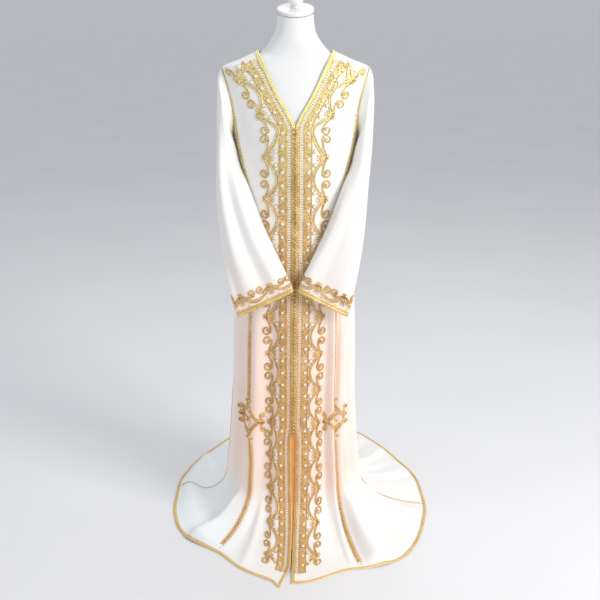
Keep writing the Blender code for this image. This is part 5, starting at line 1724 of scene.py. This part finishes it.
class KAFTAN_OT_buttons(bpy.types.Operator):
    """Ties the row of knotted buttons over the opening, with the amber strip behind it"""

    bl_idname = "kaftan.buttons"
    bl_label = "Buttons And Strip"

    def execute(self, context):
        radius = chosen().button_radius
        heights = np.arange(BUTTON_TOP, BUTTON_BOTTOM, -BUTTON_PITCH)
        middle = sum(body_point(front_edge_turn(side, heights), heights) for side, _ in SIDES) / 2
        normals = body_normal(np.full(len(heights), 1.0), heights)
        parts = [self.knots(middle + normals * (EDGE_BRAID_TOP + radius * 0.85), radius)]
        across = np.linspace(0.0012, 0.0088, 6)
        loops = [np.stack([across, np.full(6, NECKLINE_BOTTOM - at)], axis=-1) for at in heights]
        for side, _ in SIDES:
            parts.append(carried(patch_for("band", side), loops, 0.0010, 0.0030, rounding=0.2))
        add_trim("Button_Row", joined(*parts), "knot", ["button_row"])
        self.strip()
        return {"FINISHED"}

    def knots(self, centres, radius):
        """Knotted balls: a flattened sphere whose size swells five times round, slanting with
        its rise, as a cosine."""
        angle = np.arange(KNOT_SIDES) * 2 * np.pi / KNOT_SIDES
        rise = (np.linspace(-0.98, 0.98, KNOT_RINGS) * np.pi / 2)[:, None]
        swell = 1 + 0.09 * np.cos(5 * angle + 4 * rise)
        reach = np.cos(rise) * swell
        ball = np.stack([reach * np.cos(angle), np.sin(rise) * swell, reach * np.sin(angle)], axis=-1)
        points = (centres[:, None, None] + ball * radius * np.array(KNOT_SHAPE)).reshape(-1, 3)
        per_knot = KNOT_SIDES * KNOT_RINGS
        faces = facing_out(points[:per_knot], closed_faces(KNOT_RINGS, KNOT_SIDES))
        uv = np.stack(np.broadcast_arrays(angle * radius, rise * radius), axis=-1).reshape(-1, 2)
        return points, repeated(faces, len(centres), per_knot), np.tile(uv, (len(centres), 1))

    def strip(self):
        """The strip: straight rows across behind the opening, clear of the cloth's wall."""
        levels = levels_below(UNDERARM_HEIGHT)[::2]
        levels = np.concatenate([[BUTTON_TOP], levels[levels > STRIP_BOTTOM + 0.004], [STRIP_BOTTOM]])
        half = turn_step(np.full(len(levels), 2.0), levels, STRIP_HALF_WIDTH)
        share = np.linspace(-1, 1, STRIP_COLUMNS)
        turns = half[:, None] * share
        drops = np.repeat(levels[:, None], STRIP_COLUMNS, axis=1)
        left, right = (body_point(np.mod(end, 360), levels)[:, None] for end in (-half, half))
        normals = body_normal(np.full(drops.shape, 1.0), drops)
        points = left + (right - left) * ((share + 1) / 2)[None, :, None] - normals * STRIP_BEHIND
        faces = facing_out(points.reshape(-1, 3), strip_faces(*drops.shape), normals[0, 0])
        uv = np.stack([turns * UV_METRES_PER_DEGREE, drops], axis=-1)
        piece = add_piece("Front_Strip", points, faces, finish("amber"), uv)
        thicken(piece, STRIP_THICKNESS)
        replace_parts(piece, "front_underlap")


class KAFTAN_OT_front_bands(bpy.types.Operator):
    """Embroiders the two wide bands down the front opening and round the neckline"""

    bl_idname = "kaftan.front_bands"
    bl_label = "Front Bands"

    def execute(self, context):
        radius = chosen().stone_radius
        for side, word in SIDES:
            patch = patch_for("band", side)
            row_cords, row_beads, row_stones = front_band_parts(patch)
            cords, beads, node_stones = scroll_work(patch, FRONT_BAND, BAND_NODES, *HALF_CELLS)
            rings = add_stones("Front_Band_" + word, patch, row_stones + node_stones, radius)
            add_trim("Front_Rows_" + word, joined(row_cords, row_beads), "gold")
            add_trim("Front_Scrolls_" + word, joined(cords, beads, rings), "gold")
        return {"FINISHED"}


class KAFTAN_OT_cuff_bands(bpy.types.Operator):
    """Embroiders the scrolls round each cuff"""

    bl_idname = "kaftan.cuff_bands"
    bl_label = "Cuff Bands"

    def execute(self, context):
        for side, word in SIDES:
            patch = patch_for("cuff", side)
            nodes = CUFF_FIRST_NODE + np.arange(5) * patch.circumference / 4
            cords, beads, stones = scroll_work(patch, CUFF_BAND, nodes)
            rings = add_stones("Cuff_Band_" + word, patch, stones[:-2], CUFF_STONE_RADIUS)
            add_trim("Cuff_Scrolls_" + word, joined(cords, beads, rings), "gold")
        return {"FINISHED"}


class KAFTAN_OT_vines(bpy.types.Operator):
    """Embroiders the vines and their flowers down the princess seams"""

    bl_idname = "kaftan.vines"
    bl_label = "Seam Vines"

    def execute(self, context):
        for side, word in SIDES:
            patch = patch_for("princess", side)
            middle = PRINCESS_TOP - FLEUR_DROP
            end = patch.along[-1] - VINE_ABOVE_HEM
            flower, stones = fleur_parts(patch, middle, side)
            parts = [
                vine_parts(patch, VINE_TOP, middle - FLEUR_HALF_HIGH - FLEUR_GAP),
                flower,
                vine_parts(patch, middle + FLEUR_HALF_HIGH + FLEUR_GAP, end),
                add_stones("Vine_" + word, patch, stones, VINE_STONE_RADIUS),
            ]
            add_trim("Vine_Work_" + word, joined(*parts), "gold")
        return {"FINISHED"}


def form_solid(name, rings, replaced):
    """A closed solid of the dress form, from rings of points."""
    count, sides = rings.shape[:2]
    points = rings.reshape(-1, 3)
    faces = facing_out(points, closed_faces(count, sides))
    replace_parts(add_piece(name, points, faces, finish("cover")), replaced)


class KAFTAN_OT_dress_form(bpy.types.Operator):
    """Builds the smooth dress form: torso, tilted neck cap and knob"""

    bl_idname = "kaftan.dress_form"
    bl_label = "Dress Form"

    def execute(self, context):
        sides = 96
        angle = np.arange(sides) * 2 * np.pi / sides
        lowest, highest = FORM_SECTIONS[-1].height, FORM_SECTIONS[0].height
        levels = np.concatenate([np.linspace(highest, 1.30, 44), np.linspace(1.30, lowest, 60)[1:]])
        wide, front, back = (size[:, None] for size in oval(FORM_SECTIONS, levels))
        deep = np.where(np.cos(angle) > 0, front, back)
        x, y = wide * np.sin(angle), -deep * np.cos(angle)
        z = levels[:, None] + y * CAP_TILT * ease(1.402, 1.49, levels)[:, None]
        form_solid("Form_Torso", np.stack([x, y, z], axis=-1), "form_torso")
        rim = np.linspace(-np.pi / 2, np.pi / 2, 9)
        cap = [(0.90, 0.0)]
        cap += [(0.955 + 0.045 * np.cos(a), (np.sin(a) + 1) / 2 * CAP_THICK * 0.86) for a in rim]
        cap += [(0.80, CAP_THICK * 0.93), (0.50, CAP_THICK), (0.20, CAP_THICK)]
        self.turned("Form_Neck_Cap", cap, CAP_RADIUS, 0.0004, "form_neck_cap")
        rise = np.linspace(-0.80, 0.5 * np.pi * 0.93, 18)
        knob = [(0.66, 0.0), (0.60, 0.003)]
        knob += [(np.cos(a), 0.0185 + 0.0150 * np.sin(a)) for a in rise]
        self.turned("Form_Knob", knob, KNOB_RADIUS, CAP_THICK + 0.0008, "form_knob")
        return {"FINISHED"}

    def turned(self, name, profile, radius, lift, replaced):
        """A solid turned about the neck's leaning axis, from (radius share, rise) pairs."""
        sides = 72
        angle = np.arange(sides) * 2 * np.pi / sides
        profile = np.array(profile)
        reach = profile[:, :1] * radius
        x, y = reach * np.sin(angle), -reach * np.cos(angle)
        height = FORM_SECTIONS[0].height + lift + profile[:, 1:]
        lean = (height - FORM_SECTIONS[0].height) * CAP_TILT
        rings = np.stack([x, y - lean, height + y * CAP_TILT], axis=-1)
        form_solid(name, rings, replaced)


class KAFTAN_OT_stand(bpy.types.Operator):
    """Gives the stand's pole, collar and base their brushed steel"""

    bl_idname = "kaftan.stand"
    bl_label = "Stand"

    def execute(self, context):
        for name in ("stand_pole", "stand_collar", "stand_base"):
            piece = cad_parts[name]
            piece.data.materials.clear()
            piece.data.materials.append(finish("steel"))
        return {"FINISHED"}


Light = namedtuple("Light", "name place size power colour")
LIGHTS = rows_of(
    Light,
    ("Key_Light", (2.7, -2.1, 2.5), 1.5, 100.0, (1.0, 0.985, 0.96)),
    ("Fill_Light", (-2.8, -1.6, 1.9), 2.4, 12.0, (0.95, 0.97, 1.0)),
    ("Top_Light", (0.2, 1.3, 3.4), 2.6, 22.0, (1.0, 1.0, 1.0)),
)
LIT_POINT = mathutils.Vector((0.0, 0.0, 0.75))
SKY_COLOUR = (0.93, 0.95, 1.0, 1.0)
SKY_STRENGTH = 0.62
FLOOR_REACH = 220.0
CAMERA_PLACE = (0.012, -2.60, 1.55)
CAMERA_TILT = np.radians(71.5)
CAMERA_LENS = 55.98


def linked(name, data):
    """A new object of the scene, made of a mesh, a light or a camera."""
    made = bpy.data.objects.new(name, data)
    bpy.context.scene.collection.objects.link(made)
    return made


def add_light(light):
    """A large square soft light, aimed at the middle of the kaftan."""
    data = bpy.data.lights.new(light.name, "AREA")
    data.shape = "SQUARE"
    data.size = light.size
    data.energy = light.power
    data.color = light.colour
    lamp = linked(light.name, data)
    lamp.location = light.place
    lamp.rotation_euler = (LIT_POINT - lamp.location).to_track_quat("-Z", "Y").to_euler()


class KAFTAN_OT_studio(bpy.types.Operator):
    """Sets the floor, the soft lights, the world and the camera"""

    bl_idname = "kaftan.studio"
    bl_label = "Studio"

    def execute(self, context):
        scene = context.scene
        mesh = bpy.data.meshes.new("Floor")
        corners = [(x * FLOOR_REACH, y * FLOOR_REACH, 0) for x, y in ((-1, -1), (1, -1), (1, 1), (-1, 1))]
        mesh.from_pydata(corners, [], [(0, 1, 2, 3)])
        mesh.materials.append(finish("floor"))
        linked("Floor", mesh)
        for light in LIGHTS:
            add_light(light)
        world = bpy.data.worlds.new("Studio")
        world.use_nodes = True
        sky = world.node_tree.nodes["Background"]
        sky.inputs["Color"].default_value = SKY_COLOUR
        sky.inputs["Strength"].default_value = SKY_STRENGTH
        scene.world = world
        scene.view_settings.view_transform = "Standard"
        camera = bpy.data.cameras.new("Camera")
        camera.sensor_width = 36.0
        camera.lens = CAMERA_LENS
        holder = linked("Camera", camera)
        holder.location = CAMERA_PLACE
        holder.rotation_euler = (CAMERA_TILT, 0.0, 0.0)
        scene.camera = holder
        return {"FINISHED"}


class KAFTAN_PT_panel(bpy.types.Panel):
    """Lists the pieces and the settings in the sidebar"""

    bl_idname = "KAFTAN_PT_panel"
    bl_label = "Embroidered Kaftan"
    bl_space_type = "VIEW_3D"
    bl_region_type = "UI"
    bl_category = "Kaftan"

    def draw(self, context):
        for name in KaftanSettings.__annotations__:
            self.layout.prop(context.scene.kaftan, name)
        for operator in OPERATORS:
            self.layout.operator(operator.bl_idname)


OPERATORS = (
    KAFTAN_OT_body,
    KAFTAN_OT_sleeves,
    KAFTAN_OT_braids,
    KAFTAN_OT_piping,
    KAFTAN_OT_buttons,
    KAFTAN_OT_front_bands,
    KAFTAN_OT_cuff_bands,
    KAFTAN_OT_vines,
    KAFTAN_OT_dress_form,
    KAFTAN_OT_stand,
    KAFTAN_OT_studio,
)
CLASSES = (KaftanSettings, *OPERATORS, KAFTAN_PT_panel)


def register():
    for made in CLASSES:
        bpy.utils.register_class(made)
    bpy.types.Scene.kaftan = bpy.props.PointerProperty(type=KaftanSettings)


def unregister():
    del bpy.types.Scene.kaftan
    for made in reversed(CLASSES):
        bpy.utils.unregister_class(made)


# ---- What each sheet was cut from --------------------------------------------------------------

Cut = namedtuple("Cut", "piece flat area rests trims")
CUTS = rows_of(
    Cut,
    ("Front_Left", (0.32, 1.66), 0.235, "Form_Torso", ("Front_Braid_Left", "Front_Rows_Left")),
    ("Front_Right", (0.32, 1.66), 0.235, "Form_Torso", ("Front_Braid_Right", "Front_Rows_Right")),
    ("Side_Front_Left", (0.34, 1.56), 0.205, "Form_Torso", ("Vine_Work_Left",)),
    ("Side_Front_Right", (0.34, 1.56), 0.205, "Form_Torso", ("Vine_Work_Right",)),
    ("Back", (1.60, 1.90), 1.00, "Form_Torso", ("Hem_Braid", "Back_Neck_Braid")),
    ("Sleeve_Left", (0.48, 0.60), 0.175, "Form_Torso", ("Cuff_Braid_Left", "Cuff_Scrolls_Left")),
    ("Sleeve_Right", (0.48, 0.60), 0.175, "Form_Torso", ("Cuff_Braid_Right", "Cuff_Scrolls_Right")),
    ("Front_Strip", (0.024, 1.55), 0.037, "Front_Left", ("Button_Row",)),
)


def declare_cloth():
    """Looks up the trims of every sheet by name, and does nothing more with them."""
    for cut in CUTS:
        trims = [bpy.data.objects[name] for name in cut.trims]


def main():
    register()
    for operator in OPERATORS:
        group, action = operator.bl_idname.split(".")
        getattr(getattr(bpy.ops, group), action)()
    declare_cloth()


if __name__ == "__main__":
    main()
